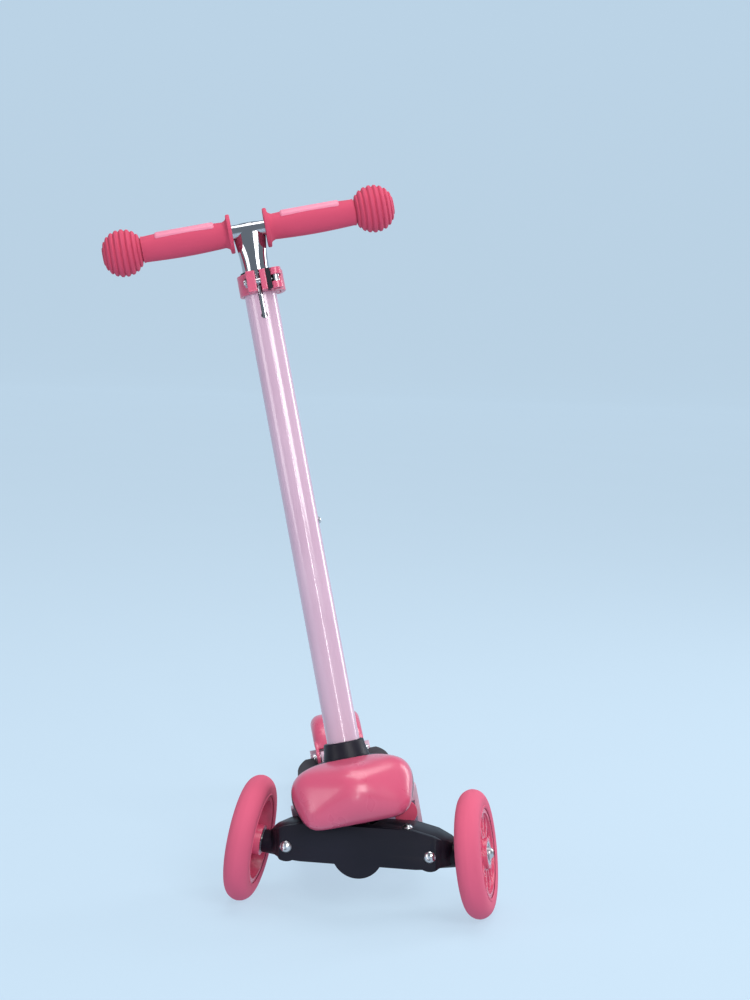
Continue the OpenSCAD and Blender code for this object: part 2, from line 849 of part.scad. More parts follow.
module steering_bracket() {
    color(RUBBER) leaned_frame() steer_axis() difference() {
        union() {
            for (m = [0, 1]) mirror([0, 0, m]) translate([0, 0, ear_start]) {
                cylinder(h = ear_t, r = ear_r);
                box([-ear_r, 0, 0], [ear_r, spine_y + spine_t - seat_gap, ear_t]);
            }
            box([-ear_r, spine_y, -ear_start - ear_t], [ear_r, spine_y + spine_t - seat_gap,
                ear_start + ear_t]);
        }
        translate([0, 0, -FAR / 4]) cylinder(h = FAR / 2, r = kingpin_d / 2 + run_gap);
        translate([0, 0, ear_start + ear_t - 3 - EPS])
            cylinder(h = 3.2, r1 = kingpin_d / 2 + run_gap, r2 = kingpin_d / 2 + 3.2);
        for (z = bracket_bolt) translate([0, spine_y, z]) {
            rod_y(-1, 20, 2.5 + seat_gap);
            rotate([-90, 0, 0]) translate([0, 0, -EPS]) cylinder(h = 3, r1 = 5.2, r2 = 2.5);
        }
    }
}

bracket_bolt = [-12, 12];

module bracket_bolt_holes(r) {
    trimmed(-trim) steer_axis() for (z = bracket_bolt) translate([0, spine_y, z]) rod_y(-1, 26, r);
}

module bracket_bolts() {
    color(STEEL) leaned_frame() steer_axis() for (z = bracket_bolt)
        translate([0, spine_y, z]) {
            rod_y(2, 24, 2.5 - EPS);
            rotate([-90, 0, 0]) cylinder(h = 2.7, r1 = 4.9, r2 = 2.4);
        }
}

module kingpin() {
    head_h = 3;
    color(STEEL) leaned_frame() steer_axis() {
        translate([0, 0, -ear_start - ear_t - 8])
            cylinder(h = 2 * ear_start + 2 * ear_t + 8 - head_h + EPS, r = kingpin_d / 2);
        translate([0, 0, ear_start + ear_t - head_h])
            cylinder(h = head_h, r1 = kingpin_d / 2, r2 = kingpin_d / 2 + head_h);
    }
}

module kingpin_nut() {
    color(STEEL) leaned_frame() steer_axis() translate([0, 0, -ear_start - ear_t - 6.5])
        hex_nut(13, 6.5, kingpin_d / 2 + run_gap);
}

// Rubber wedges that the beam's rear face lies flat on at full lean
module bump_stops() {
    color(PINK) chassis_frame() for (side = [-1, 1]) difference() {
        translate([side * 46, 0, axle_z + 16]) rod_y(beam_rear, deck_front_y, 11);
        trimmed(-trim) about_steer(side * lean)
            box([-FAR, -FAR, -FAR], [FAR, beam_rear + body_gap, FAR]);
    }
}

// Column and clamp --------------------------------------------------------------------

column_in = column_d / 2 - column_wall;

module front_slot(w, s0, s1) {
    box([-w / 2, -FAR / 4, s0], [w / 2, 0, s1]);
}

module column_tube() {
    color(PALE) column_frame() difference() {
        translate([0, 0, column_foot]) ring(column_d / 2, column_in, column_top - column_foot);
        front_slot(slot_w, column_top - slot_len, column_top + 1);
        translate([0, 0, column_top - slot_len]) rod_y(-FAR / 4, 0, slot_w / 2 + 0.9);
        translate([0, 0, guide_s]) rod_x(0, FAR / 4, 2 + run_gap);
        translate([0, 0, column_foot + 14]) rod_x(-FAR / 4, FAR / 4, 3 + seat_gap);
    }
}

module column_collar() {
    color(BLACK) column_frame() translate([0, 0, collar_start + 0.1]) rotate_extrude($fn = 96)
        polygon([
            [column_d / 2 + run_gap, 0], [column_d / 2 + 6.8, 0], [column_d / 2 + 5, 7],
            [column_d / 2 + 4, 13], [column_d / 2 + 3.4, collar_top - collar_start],
            [column_d / 2 + run_gap, collar_top - collar_start]
        ]);
}

module column_bolt() {
    color(STEEL) column_frame() translate([0, 0, column_foot + 14]) {
        rod_x(-column_d / 2 - socket_wall - 5, column_d / 2 + socket_wall - 1 + EPS, 3);
        translate([column_d / 2 + socket_wall - 1, 0, 0]) rotate([0, 90, 0]) button_head(10, 3.4, 4);
    }
}

module column_nut() {
    color(STEEL) column_frame() translate([1 - column_d / 2 - socket_wall, 0, column_foot + 14])
        rotate([0, -90, 0]) hex_nut(10, 5, 3 + run_gap);
}

// Screw whose tip runs in the stem's groove and stops it turning or coming out
module guide_screw() {
    color(STEEL) column_frame() translate([0, 0, guide_s]) {
        rod_x(stem_d / 2 - 2.2, column_d / 2 + EPS, 2);
        translate([column_d / 2, 0, 0]) rotate([0, 90, 0]) button_head(7, 2.6, 2.5);
    }
}

module top_bush() {
    color(BLACK) column_frame() difference() {
        union() {
            translate([0, 0, column_top - 44]) ring(column_in - EPS, stem_d / 2 + run_gap, 45.5);
            translate([0, 0, column_top + EPS]) ring(column_d / 2, stem_d / 2 + run_gap, 1.5);
        }
        front_slot(slot_w - 1, column_top - FAR / 4, column_top + 10);
    }
}

module clamp_blocks(x0, x1) {
    box([x0, lug_y - 6.5, 0], [x1, 4 - column_d / 2, clamp_h]);
}

module clamp_ring() {
    color(PINK) column_frame() translate([0, 0, clamp_mid - clamp_h / 2]) difference() {
        union() {
            difference() {
                cylinder(h = clamp_h, r = column_d / 2 + clamp_wall);
                box([block_out, -FAR / 4, -1], [FAR / 4, lug_y + 6.5, clamp_h + 1]);
            }
            clamp_blocks(-block_out - 3, block_out);
        }
        translate([0, 0, -1]) cylinder(h = clamp_h + 2, r = column_d / 2 + run_gap);
        front_slot(slot_w, -1, clamp_h + 1);
        translate([0, lug_y, clamp_h / 2]) {
            rod_x(-FAR / 4, FAR / 4, 2.5 + seat_gap);
            rotate([0, -90, 0]) translate([0, 0, block_out - 1]) cylinder(h = 9, d = 8.4 / cos(30), $fn = 6);
        }
    }
}

module at_clamp_bolt() {
    column_frame() translate([0, lug_y, clamp_mid]) children();
}

module clamp_bolt() {
    color(STEEL) at_clamp_bolt() rod_x(-block_out - 6, lever_x + 3, 2.5);
}

module clamp_nut() {
    color(STEEL) at_clamp_bolt() translate([1 - block_out, 0, 0])
        rotate([0, -90, 0]) hex_nut(8, 6, 2.5 + run_gap);
}

// Hollow washer that the lever's cam bears on
module cam_washer() {
    color(BLACK) at_clamp_bolt() difference() {
        translate([block_out + 0.05, 0, 0]) box([0, -6.5, -clamp_h / 2], [4.5, 5.5, clamp_h / 2]);
        rod_x(0, FAR / 4, 2.5 + seat_gap);
        translate([lever_x, 0, -20]) cylinder(h = 40, r = 6.5 + body_gap);
    }
}

module lever_barrel() {
    color(STEEL) at_clamp_bolt() difference() {
        translate([lever_x, 0, -9]) cylinder(h = 18, r = 4);
        rod_x(0, lever_x + 10, 2.5 + run_gap);
    }
}

// Plan of the lever about the clamp bolt: a round cam with a handle wrapped round the column
module lever_plan() {
    handle_in = column_d / 2 + clamp_wall + 0.8;
    handle_t = 4.5;
    from = -48;
    to = 36;
    translate([lever_x, 0]) circle(r = 6.5);
    translate([0, -lug_y]) {
        intersection() {
            difference() {
                circle(r = handle_in + handle_t, $fn = 128);
                circle(r = handle_in, $fn = 128);
            }
            polygon([[0, 0], for (k = [0 : 3]) let (a = from + (to - from) * k / 3)
                [handle_in * 2 * cos(a), handle_in * 2 * sin(a)]]);
        }
        rotate([0, 0, to]) translate([handle_in + handle_t / 2, 0]) circle(r = handle_t / 2);
    }
}

module clamp_lever() {
    color(PINK) at_clamp_bolt() difference() {
        translate([0, 0, -10]) linear_extrude(20) lever_plan();
        translate([lever_x, 0, -20]) cylinder(h = 40, r = 4 + run_gap);
        box([0, -10, -3.2], [lever_x, 10, 3.2]);
        box([lever_x - 0.1, -FAR / 4, -3.2], [lever_x + 10, 3, 3.2]);
    }
}

// Handlebar ---------------------------------------------------------------------------

grip_start = 16;
flange_t = 4;
flare_r = grip_start - 0.2;

module handlebar() {
    color(CHROME) column_frame() difference() {
        union() {
            translate([0, 0, stem_foot_s]) cylinder(h = bar_s - 20 - stem_foot_s, r = stem_d / 2);
            translate([0, 0, bar_s - 24]) cylinder(h = 16, r1 = stem_d / 2, r2 = flare_r);
            intersection() {
                translate([0, 0, bar_s - 8]) cylinder(h = 9, r = flare_r);
                box([-FAR, -bar_d / 2 - 1.5, 0], [FAR, bar_d / 2 + 1.5, FAR * 2]);
            }
            translate([0, 0, bar_s]) rod_x(-ball_x, ball_x, bar_d / 2);
        }
        translate([0, 0, stem_foot_s - 1])
            cylinder(h = bar_s - 29 - stem_foot_s, r = stem_d / 2 - stem_wall);
        translate([0, 0, bar_s]) rod_x(-ball_x - 1, ball_x + 1, bar_d / 2 - 1.5);
        guide_groove();
    }
}

// Groove on the rider's left of the stem, as long as the stem can be raised
module guide_groove() {
    half = 2 + body_gap;
    box([0, -half, guide_s - raise], [FAR / 4, half, guide_s]);
    for (s = [guide_s - raise, guide_s]) translate([0, 0, s]) rod_x(0, FAR / 4, half);
}

module stem_foot() {
    color(BLACK) column_frame() translate([0, 0, stem_foot_s - 4]) {
        ring(column_in - run_gap, stem_d / 2 - stem_wall - 2, 4 - EPS);
        ring(stem_d / 2 - stem_wall - EPS, stem_d / 2 - stem_wall - 2, 12);
    }
}

// Half outline of a grip: flange, hand part and ball, as [radius, distance along the bar]
module grip_profile() {
    r = grip_d / 2;
    ball_half = 20;
    neck = ball_x - ball_half + 1.5;
    hand_len = neck - grip_start - flange_t;
    intersection() {
        union() {
            translate([0, grip_start]) square([flange_d / 2, flange_t]);
            polygon(concat(
                [[0, grip_start]],
                [for (k = [0 : 8]) [r - 1 + 1.2 * sin(180 * k / 8), grip_start + flange_t
                    + hand_len * k / 8]],
                [[0, neck]]
            ));
            polygon(concat(
                [[0, ball_x - ball_half]],
                [for (a = [-80 : 10 : 80]) [ball_d / 2 * pow(cos(a), 0.8), ball_x
                    + ball_half * sin(a) / sin(80)]],
                [[0, ball_x + ball_half]]
            ));
        }
        square([FAR, FAR]);
    }
}

module grip(side) {
    column_frame() translate([0, 0, bar_s]) rotate([0, side * 90, 0]) difference() {
        rotate_extrude($fn = 96) grip_profile();
        cylinder(h = ball_x + 0.2, r = bar_d / 2 + EPS);
    }
}

module left_grip() {
    color(PINK) grip(1);
}

module right_grip() {
    color(PINK) grip(-1);
}

// Rear brake --------------------------------------------------------------------------

spring_room = 13;
plate_from = 62;
plate_to = 118;

// Sector of a ring about the rear axle, between two angles up from the rear
module wheel_arc(r0, r1, a0, a1) {
    reach = r1 * 2;
    intersection() {
        difference() {
            circle(r = r1, $fn = 128);
            circle(r = r0, $fn = 128);
        }
        polygon(concat([[0, 0]], [for (k = [0 : 4]) let (a = a0 + (a1 - a0) * k / 4)
            [reach * cos(a), reach * sin(a)]]));
    }
}

// Extrude a side view drawn as [y, z] about the rear axle to the given half width
module across(half) {
    rotate([90, 0, 90]) translate([0, 0, -half]) linear_extrude(half * 2) children();
}

// Section of the fender about the rear axle, as [radius, x], with rounded shoulders
module fender_section(half, top_r, low_r, round_r) {
    arc = [for (a = [90 : -15 : 0]) [top_r - round_r + round_r * cos(a), half - round_r
        + round_r * sin(a)]];
    last = len(arc) - 1;
    polygon(concat(
        [[low_r, half]], arc, [for (i = [last : -1 : 0]) [arc[i].x, -arc[i].y]], [[low_r, -half]]
    ));
}

// Everything between two angles about the rear axle
module wedge(a0, a1) {
    across(FAR / 4) polygon(concat([[0, 0]], [for (k = [0 : 4]) let (a = a0 + (a1 - a0) * k / 4)
        [FAR * cos(a) / 2, FAR * sin(a) / 2]]));
}

module fender_shell() {
    at_rear_wheel() difference() {
        intersection() {
            spun() fender_section(fender_w / 2, fender_out, fender_in - 14, 11);
            wedge(fender_end, 152);
        }
        spun() fender_section(fender_w / 2 - fender_t, fender_in, 1, 7);
        for (a = [0, 140]) intersection() {
            rod_x(-FAR / 4, FAR / 4, fender_in - 2);
            wedge(a, a + 40);
        }
    }
    fender_ears();
}

ear_in = fender_w / 2 - fender_t - 0.4;
ear_out = ear_in + 3.8;

// Ears that carry the fender on its pin; the outline is in [y, z] about the rear axle
module fender_ears() {
    hinge = [hinge_y - wheelbase, hinge_z - rear_r];
    at_rear_wheel() both_sides() translate([ear_in, 0, 0])
        rotate([90, 0, 90]) linear_extrude(ear_out - ear_in) {
            translate(hinge) circle(r = 8);
            polygon([hinge + [-7.4, 3], [-43.5, 25], [-36, 30], [-28, 26], [-26, 16], hinge + [12, -6], hinge + [1, -7.9]]);
        }
}

module brake_fender() {
    color(PINK) chassis_frame() difference() {
        fender_shell();
        translate([0, hinge_y, hinge_z]) rod_x(-FAR / 4, FAR / 4, hinge_pin_d / 2 + run_gap);
        brake_rivet_places() cylinder(h = FAR / 4, r = 1.6 + seat_gap);
    }
}

module brake_plate() {
    color(STEEL) chassis_frame() difference() {
        at_rear_wheel() across(rear_tyre_w / 2 + 3)
            wheel_arc(fender_in - plate_t, fender_in - EPS, plate_from, plate_to);
        brake_rivet_places() cylinder(h = FAR / 4, r = 1.6 + seat_gap, center = true);
    }
}

module brake_rivet_places() {
    at_rear_wheel() for (a = [plate_from + 8, plate_to - 8], x = [-9, 9])
        rotate([a - 90, 0, 0]) translate([x, 0, 0]) children();
}

module brake_rivets() {
    color(STEEL) chassis_frame() brake_rivet_places() {
        translate([0, 0, fender_in - plate_t - 0.9]) cylinder(h = fender_t + plate_t + 1.4, r = 1.6);
        translate([0, 0, fender_in - plate_t - 0.9]) cylinder(h = 0.75, r = 3);
        translate([0, 0, fender_out + EPS]) cylinder(h = 0.9, r = 3);
    }
}

module fender_pin() {
    color(STEEL) chassis_frame() translate([0, hinge_y, hinge_z]) {
        rod_x(-fender_w / 2 - 2.5, fender_w / 2 + 0.5 + EPS, hinge_pin_d / 2);
        translate([fender_w / 2 + 0.5, 0, 0]) rotate([0, 90, 0]) cylinder(h = 2.5, r = 4.5);
        translate([-fender_w / 2 - 3, 0, 0]) rotate([0, 90, 0]) cylinder(h = 2.5, r = 4.5);
    }
}

// Torsion spring round the pin: six coils, one leg under the fender, one on the deck
module fender_spring() {
    wire = 2;
    coil_r = hinge_pin_d / 2 + 1.2 + wire / 2;
    coils = 6;
    pitch = wire * 0.94;
    reach = (coils - 1) / 2 * pitch;
    color(STEEL) chassis_frame() translate([0, hinge_y, hinge_z]) {
        spun() for (k = [0 : coils - 1]) translate([coil_r, k * pitch - reach])
            circle(d = wire, $fn = 24);
        translate([reach, 0, coil_r]) rotate([9, 0, 0]) rod_y(0, 11.5, wire / 2);
        translate([-reach, 0, -coil_r]) rotate([198, 0, 0]) rod_y(0, 19, wire / 2);
    }
}

// Assembly ----------------------------------------------------------------------------

beam_body();
beam_face();
beam_bolts();
beam_nuts();
top_screws();
pivot_bush();
thrust_washers();
front_axles();
arm_nuts();
front_washers();
left_tyre();
left_hub();
left_bearings();
left_spacer();
right_tyre();
right_hub();
right_bearings();
right_spacer();
deck();
deck_mat();
housing();
nose_cover();
cover_screws();
housing_screws();
steering_bracket();
bracket_bolts();
kingpin();
kingpin_nut();
bump_stops();
column_tube();
column_collar();
column_bolt();
column_nut();
guide_screw();
top_bush();
clamp_ring();
clamp_bolt();
clamp_nut();
cam_washer();
lever_barrel();
clamp_lever();
handlebar();
left_grip();
right_grip();
stem_foot();
rear_tyre();
rear_hub();
rear_bearings();
rear_spacer();
rear_axle();
rear_axle_nut();
rear_washers();
brake_fender();
brake_plate();
brake_rivets();
fender_pin();
fender_spring();
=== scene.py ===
"""Looks of a three-wheeled kick scooter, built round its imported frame."""

import json
import logging
import math
from collections.abc import Iterator
from contextlib import contextmanager
from dataclasses import dataclass
from enum import Enum

import bpy
from mathutils import Matrix, Vector


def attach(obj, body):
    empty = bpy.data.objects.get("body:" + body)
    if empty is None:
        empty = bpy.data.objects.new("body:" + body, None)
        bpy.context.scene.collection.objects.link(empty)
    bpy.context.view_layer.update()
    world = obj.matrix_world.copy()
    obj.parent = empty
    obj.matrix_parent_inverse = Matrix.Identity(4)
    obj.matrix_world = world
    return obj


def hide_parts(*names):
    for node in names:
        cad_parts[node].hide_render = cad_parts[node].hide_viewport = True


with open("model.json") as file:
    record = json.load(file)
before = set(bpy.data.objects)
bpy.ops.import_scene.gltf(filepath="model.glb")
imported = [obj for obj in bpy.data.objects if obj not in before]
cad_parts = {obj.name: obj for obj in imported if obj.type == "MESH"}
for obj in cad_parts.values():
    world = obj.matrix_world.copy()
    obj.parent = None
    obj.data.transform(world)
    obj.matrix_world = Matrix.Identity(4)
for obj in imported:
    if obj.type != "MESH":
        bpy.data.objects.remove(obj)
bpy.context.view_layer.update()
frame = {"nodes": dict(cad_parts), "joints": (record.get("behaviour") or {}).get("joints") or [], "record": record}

log = logging.getLogger("scooter")
MM = 0.001
SEAM = 0.002 * MM
MERGE = 0.004 * MM
FLAT_DEG = 1.0
Point = tuple[float, float, float]
Colour = tuple[float, float, float]


class Grain(Enum):
    """Kinds of fine surface relief."""

    PEEL = "soft orange peel of a glossy coat or moulding"
    LEATHER = "fine pebbled grain of a satin moulding"
    BRUSHED = "drawn lines of turned or plated metal"
    TREAD = "rows of raised dots on a grip mat"


# Places ---------------------------------------------------------------------------


def joint(name: str) -> dict:
    """The record's joint of that name."""
    return next(j for j in frame["joints"] if j["name"] == name)


def axes_matrix(origin: Vector, x_axis: Vector, z_axis: Vector) -> Matrix:
    """Frame with the given origin, X axis and nearly square Z axis.

    Args:
        origin: Where the frame's zero lies.
        x_axis: Direction of its X axis.
        z_axis: Direction of its Z axis, squared up against X.

    Returns:
        The matrix from that frame to the row frame.
    """
    x = x_axis.normalized()
    y = z_axis.cross(x).normalized()
    z = x.cross(y)
    return Matrix.Translation(origin) @ Matrix((x, y, z)).transposed().to_4x4()


@dataclass(frozen=True)
class Places:
    """Frames of the sub-assemblies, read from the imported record."""

    wheelbase: float = 434 * MM
    rear_radius: float = 40 * MM
    rake: float = 10.4
    column_foot: Point = (0.0, 21 * MM, 63 * MM)

    def chassis(self) -> Matrix:
        """Frame of the leaned chassis, its zero on the ground under the front axle.

        Returns:
            The matrix from the chassis's frame to the row frame.
        """
        spin = joint("rear_wheel_spin")
        up = Vector(frame["record"]["mounts"][0]["axis"])
        rear = axes_matrix(Vector(spin["pos_m"]), Vector(spin["axis"]), up)
        return rear @ Matrix.Translation((0, -self.wheelbase, -self.rear_radius))

    def column(self) -> Matrix:
        """Frame with Z up the column and X to the rider's left."""
        tip = Matrix.Rotation(math.radians(-self.rake), 4, "X")
        return self.chassis() @ Matrix.Translation(self.column_foot) @ tip

    def front_wheel(self, side: int) -> Matrix:
        """Frame of a front wheel, X outwards along its axle.

        Args:
            side: 1 for the rider's left wheel, -1 for the right.

        Returns:
            The matrix from the wheel's frame to the row frame.
        """
        spin = joint("left_wheel_spin" if side > 0 else "right_wheel_spin")
        return axes_matrix(Vector(spin["pos_m"]), side * Vector(spin["axis"]), Vector((0, 0, 1)))

    def rear_wheel(self) -> Matrix:
        """Frame of the rear wheel, X along its axle."""
        return self.chassis() @ Matrix.Translation((0, self.wheelbase, self.rear_radius))


# Mesh tools -----------------------------------------------------------------------


def only(obj: bpy.types.Object) -> bpy.types.Object:
    """Select just this object and make it active.

    Args:
        obj: The object to work on.

    Returns:
        The same object.
    """
    if bpy.context.object and bpy.context.object.mode != "OBJECT":
        bpy.ops.object.mode_set(mode="OBJECT")
    bpy.ops.object.select_all(action="DESELECT")
    obj.select_set(True)
    bpy.context.view_layer.objects.active = obj
    return obj


@contextmanager
def edit_all() -> Iterator[None]:
    """Edit mode on the active piece with all of it selected, left again at the end."""
    bpy.ops.object.mode_set(mode="EDIT")
    bpy.ops.mesh.select_all(action="SELECT")
    yield
    bpy.ops.object.mode_set(mode="OBJECT")


def refine(obj: bpy.types.Object, kind: str, **settings: object) -> None:
    """Give a piece one modifier and apply it.

    Args:
        obj: The piece.
        kind: The kind of modifier.
        settings: The modifier's settings by name.
    """
    only(obj)
    mod = obj.modifiers.new(kind.lower(), kind)
    for key, value in settings.items():
        setattr(mod, key, value)
    bpy.ops.object.modifier_apply(modifier=mod.name)


def round_edges(obj: bpy.types.Object, width: float, segments: int, sharp_deg: float) -> None:
    """Round a piece's sharp edges.

    Args:
        obj: The piece.
        width: Width of the rounding, in mm.
        segments: Facets across the rounding.
        sharp_deg: Edges flatter than this stay as they are.
    """
    refine(obj, "BEVEL", width=width * MM, segments=segments, limit_method="ANGLE",
           angle_limit=math.radians(sharp_deg))


def settle(obj: bpy.types.Object, place: Matrix, smooth_deg: float = 40) -> bpy.types.Object:
    """Put a finished mesh in place, with its object at the origin.

    Args:
        obj: The piece, modelled about the frame's own zero.
        place: The frame it belongs in.
        smooth_deg: Edges flatter than this are shaded smooth.

    Returns:
        The same object.
    """
    only(obj)
    obj.matrix_world = place @ obj.matrix_world
    bpy.ops.object.transform_apply(location=True, rotation=True, scale=True)
    with edit_all():
        bpy.ops.mesh.normals_make_consistent(inside=False)
    bpy.ops.object.shade_smooth_by_angle(angle=math.radians(smooth_deg))
    return obj


def turned(name: str, rings: list[Point], sides: int, closed: bool = False) -> bpy.types.Object:
    """Body drawn up ring by ring along Z, as on a lathe, with each ring free to be oval.

    Args:
        name: Name of the piece.
        rings: (half width in X, half width in Y, height) of each ring, in mm.
        sides: Points round each ring.
        closed: Join the last ring to the first instead of capping both.

    Returns:
        The new object, about its own zero.
    """
    bpy.ops.object.select_all(action="DESELECT")
    first = rings[0]
    bpy.ops.mesh.primitive_circle_add(vertices=sides, radius=1.0, location=(0, 0, 0))
    obj = bpy.context.object
    obj.name = name
    with edit_all():
        bpy.ops.transform.resize(
            value=(first[0] * MM, first[1] * MM, 1), center_override=(0, 0, 0)
        )
        bpy.ops.transform.translate(value=(0, 0, first[2] * MM))
        if not closed:
            cap()
        for before, after in zip(rings, rings[1:]):
            bpy.ops.mesh.extrude_edges_move(
                TRANSFORM_OT_translate={"value": (0, 0, (after[2] - before[2]) * MM)}
            )
            bpy.ops.transform.resize(
                value=(after[0] / before[0], after[1] / before[1], 1), center_override=(0, 0, 0)
            )
        if closed:
            bpy.ops.mesh.select_all(action="SELECT")
            bpy.ops.mesh.remove_doubles(threshold=SEAM)
        else:
            cap()
    return obj


def cap() -> None:
    """Close the selected ring with a face, leaving the ring selected."""
    bpy.ops.mesh.edge_face_add()
    bpy.ops.mesh.select_mode(type="VERT")


def traced(node: str, name: str) -> bpy.types.Object:
    """Merged copy of a CAD node's mesh, to be refined.

    Args:
        node: The CAD node.
        name: Name of the new piece.

    Returns:
        The new object.
    """
    source = frame["nodes"][node]
    obj = bpy.data.objects.new(name, source.data.copy())
    bpy.context.scene.collection.objects.link(obj)
    only(obj)
    obj.data.materials.clear()
    with edit_all():
        bpy.ops.mesh.remove_doubles(threshold=MERGE)
        bpy.ops.mesh.customdata_custom_splitnormals_clear()
    return obj


def moulded(node: str, name: str, voxel: float, passes: int) -> bpy.types.Object:
    """Copy of a CAD node with its facets melted into one smooth moulding.

    Args:
        node: The CAD node.
        name: Name of the new piece.
        voxel: Size of the fresh mesh's cells, in mm.
        passes: Rounds of smoothing.

    Returns:
        The new object, in place.
    """
    obj = traced(node, name)
    refine(obj, "REMESH", mode="VOXEL", voxel_size=voxel * MM)
    refine(obj, "SMOOTH", factor=0.5, iterations=passes)
    bpy.ops.object.shade_smooth()
    return obj


def eased(node: str, name: str, width: float, smooth_deg: float = 35) -> bpy.types.Object:
    """Copy of a CAD node with its sharp edges eased.

    Args:
        node: The CAD node.
        name: Name of the new piece.
        width: Width of the eased edge, in mm.
        smooth_deg: Edges flatter than this are shaded smooth.

    Returns:
        The new object, in place.
    """
    obj = traced(node, name)
    with edit_all():
        bpy.ops.mesh.dissolve_limited(angle_limit=math.radians(FLAT_DEG))
    round_edges(obj, width, segments=2, sharp_deg=38)
    bpy.ops.object.shade_smooth_by_angle(angle=math.radians(smooth_deg))
    return obj


# Finishes -------------------------------------------------------------------------


@dataclass(frozen=True)
class Finish:
    """One surface finish, turned into a node material.

    Colours are linear; cell sizes are in cells per metre.
    """

    name: str
    colour: Colour
    shade: Colour
    grain: Grain = Grain.PEEL
    roughness: float = 0.3
    spread: float = 0.08
    relief: float = 0.02
    cells: float = 900.0
    blotch: float = 14.0
    metallic: float = 0.0
    coat: float = 0.0
    coat_rough: float = 0.08
    scatter: float = 0.0
    sheen: float = 0.0
    glow: float = 0.0
    specular: float = 0.5
    sheen_rough: float = 0.35
    scatter_depth: float = 0.006
    scatter_tint: Colour = (1.0, 0.35, 0.45)
    cloud_band: tuple[float, float] = (0.35, 0.65)
    smear_band: tuple[float, float] = (0.3, 0.7)
    bump: float = 0.6
    drawn_out: float = 0.06
    pebble_round: float = 0.6
    grit_cells: float = 2600.0
    grit_share: float = 0.35
    dot_floor: float = 0.15
    dot_blend: float = 0.2

    def material(self) -> bpy.types.Material:
        """Make the material, or fetch it if it is already made.

        Returns:
            The finish as a material.
        """
        made = bpy.data.materials.get(self.name)
        if made:
            return made
        mat = bpy.data.materials.new(self.name)
        mat.use_nodes = True
        tree = mat.node_tree
        tree.nodes.clear()
        out = tree.nodes.new("ShaderNodeOutputMaterial")
        shader = tree.nodes.new("ShaderNodeBsdfPrincipled")
        tree.links.new(shader.outputs["BSDF"], out.inputs["Surface"])
        shader.inputs["Metallic"].default_value = self.metallic
        shader.inputs["Coat Weight"].default_value = self.coat
        shader.inputs["Coat Roughness"].default_value = self.coat_rough
        shader.inputs["Sheen Weight"].default_value = self.sheen
        shader.inputs["Sheen Roughness"].default_value = self.sheen_rough
        shader.inputs["Emission Color"].default_value = (*self.colour, 1)
        shader.inputs["Emission Strength"].default_value = self.glow
        shader.inputs["Specular IOR Level"].default_value = self.specular
        shader.inputs["Subsurface Weight"].default_value = self.scatter
        shader.inputs["Subsurface Scale"].default_value = self.scatter_depth
        shader.inputs["Subsurface Radius"].default_value = self.scatter_tint
        coord = tree.nodes.new("ShaderNodeTexCoord")
        self._tint(tree, coord, shader)
        self._relief(tree, coord, shader)
        return mat

    def _tint(self, tree: bpy.types.NodeTree, coord: bpy.types.Node, shader: bpy.types.Node) -> None:
        """Slow colour and gloss variation over the surface.

        Args:
            tree: The material's node tree.
            coord: The node that gives the piece's own coordinates.
            shader: The surface shader.
        """
        cloud = self._noise(tree, coord, self.blotch, 2.0)
        ramp = tree.nodes.new("ShaderNodeValToRGB")
        ramp.color_ramp.elements[0].position = self.cloud_band[0]
        ramp.color_ramp.elements[1].position = self.cloud_band[1]
        lit = 1 - self.glow
        ramp.color_ramp.elements[0].color = (*(lit * c for c in self.shade), 1)
        ramp.color_ramp.elements[1].color = (*(lit * c for c in self.colour), 1)
        tree.links.new(cloud.outputs["Fac"], ramp.inputs["Fac"])
        tree.links.new(ramp.outputs["Color"], shader.inputs["Base Color"])
        smear = self._noise(tree, coord, self.blotch * 3, 2.0)
        gloss = tree.nodes.new("ShaderNodeMapRange")
        gloss.inputs["From Min"].default_value = self.smear_band[0]
        gloss.inputs["From Max"].default_value = self.smear_band[1]
        gloss.inputs["To Min"].default_value = max(0.02, self.roughness - self.spread)
        gloss.inputs["To Max"].default_value = self.roughness + self.spread
        tree.links.new(smear.outputs["Fac"], gloss.inputs["Value"])
        tree.links.new(gloss.outputs["Result"], shader.inputs["Roughness"])

    def _relief(self, tree: bpy.types.NodeTree, coord: bpy.types.Node, shader: bpy.types.Node) -> None:
        """Fine bump that suits the grain.

        Args:
            tree: The material's node tree.
            coord: The node that gives the piece's own coordinates.
            shader: The surface shader.
        """
        bump = tree.nodes.new("ShaderNodeBump")
        bump.inputs["Strength"].default_value = self.bump
        bump.inputs["Distance"].default_value = self.relief * MM
        if self.grain is Grain.BRUSHED:
            stretch = tree.nodes.new("ShaderNodeMapping")
            stretch.inputs["Scale"].default_value = (1.0, 1.0, self.drawn_out)
            tree.links.new(coord.outputs["Object"], stretch.inputs["Vector"])
            cells = self._noise(tree, stretch, self.cells, 3.0, "Vector")
            height = cells.outputs["Fac"]
        elif self.grain is Grain.LEATHER:
            cells = tree.nodes.new("ShaderNodeTexVoronoi")
            cells.feature = "SMOOTH_F1"
            cells.inputs["Scale"].default_value = self.cells
            cells.inputs["Smoothness"].default_value = self.pebble_round
            tree.links.new(coord.outputs["Object"], cells.inputs["Vector"])
            height = cells.outputs["Distance"]
        elif self.grain is Grain.TREAD:
            height = self._dots(tree, coord)
        else:
            cells = self._noise(tree, coord, self.cells, 2.0)
            height = cells.outputs["Fac"]
        tree.links.new(height, bump.inputs["Height"])
        tree.links.new(bump.outputs["Normal"], shader.inputs["Normal"])

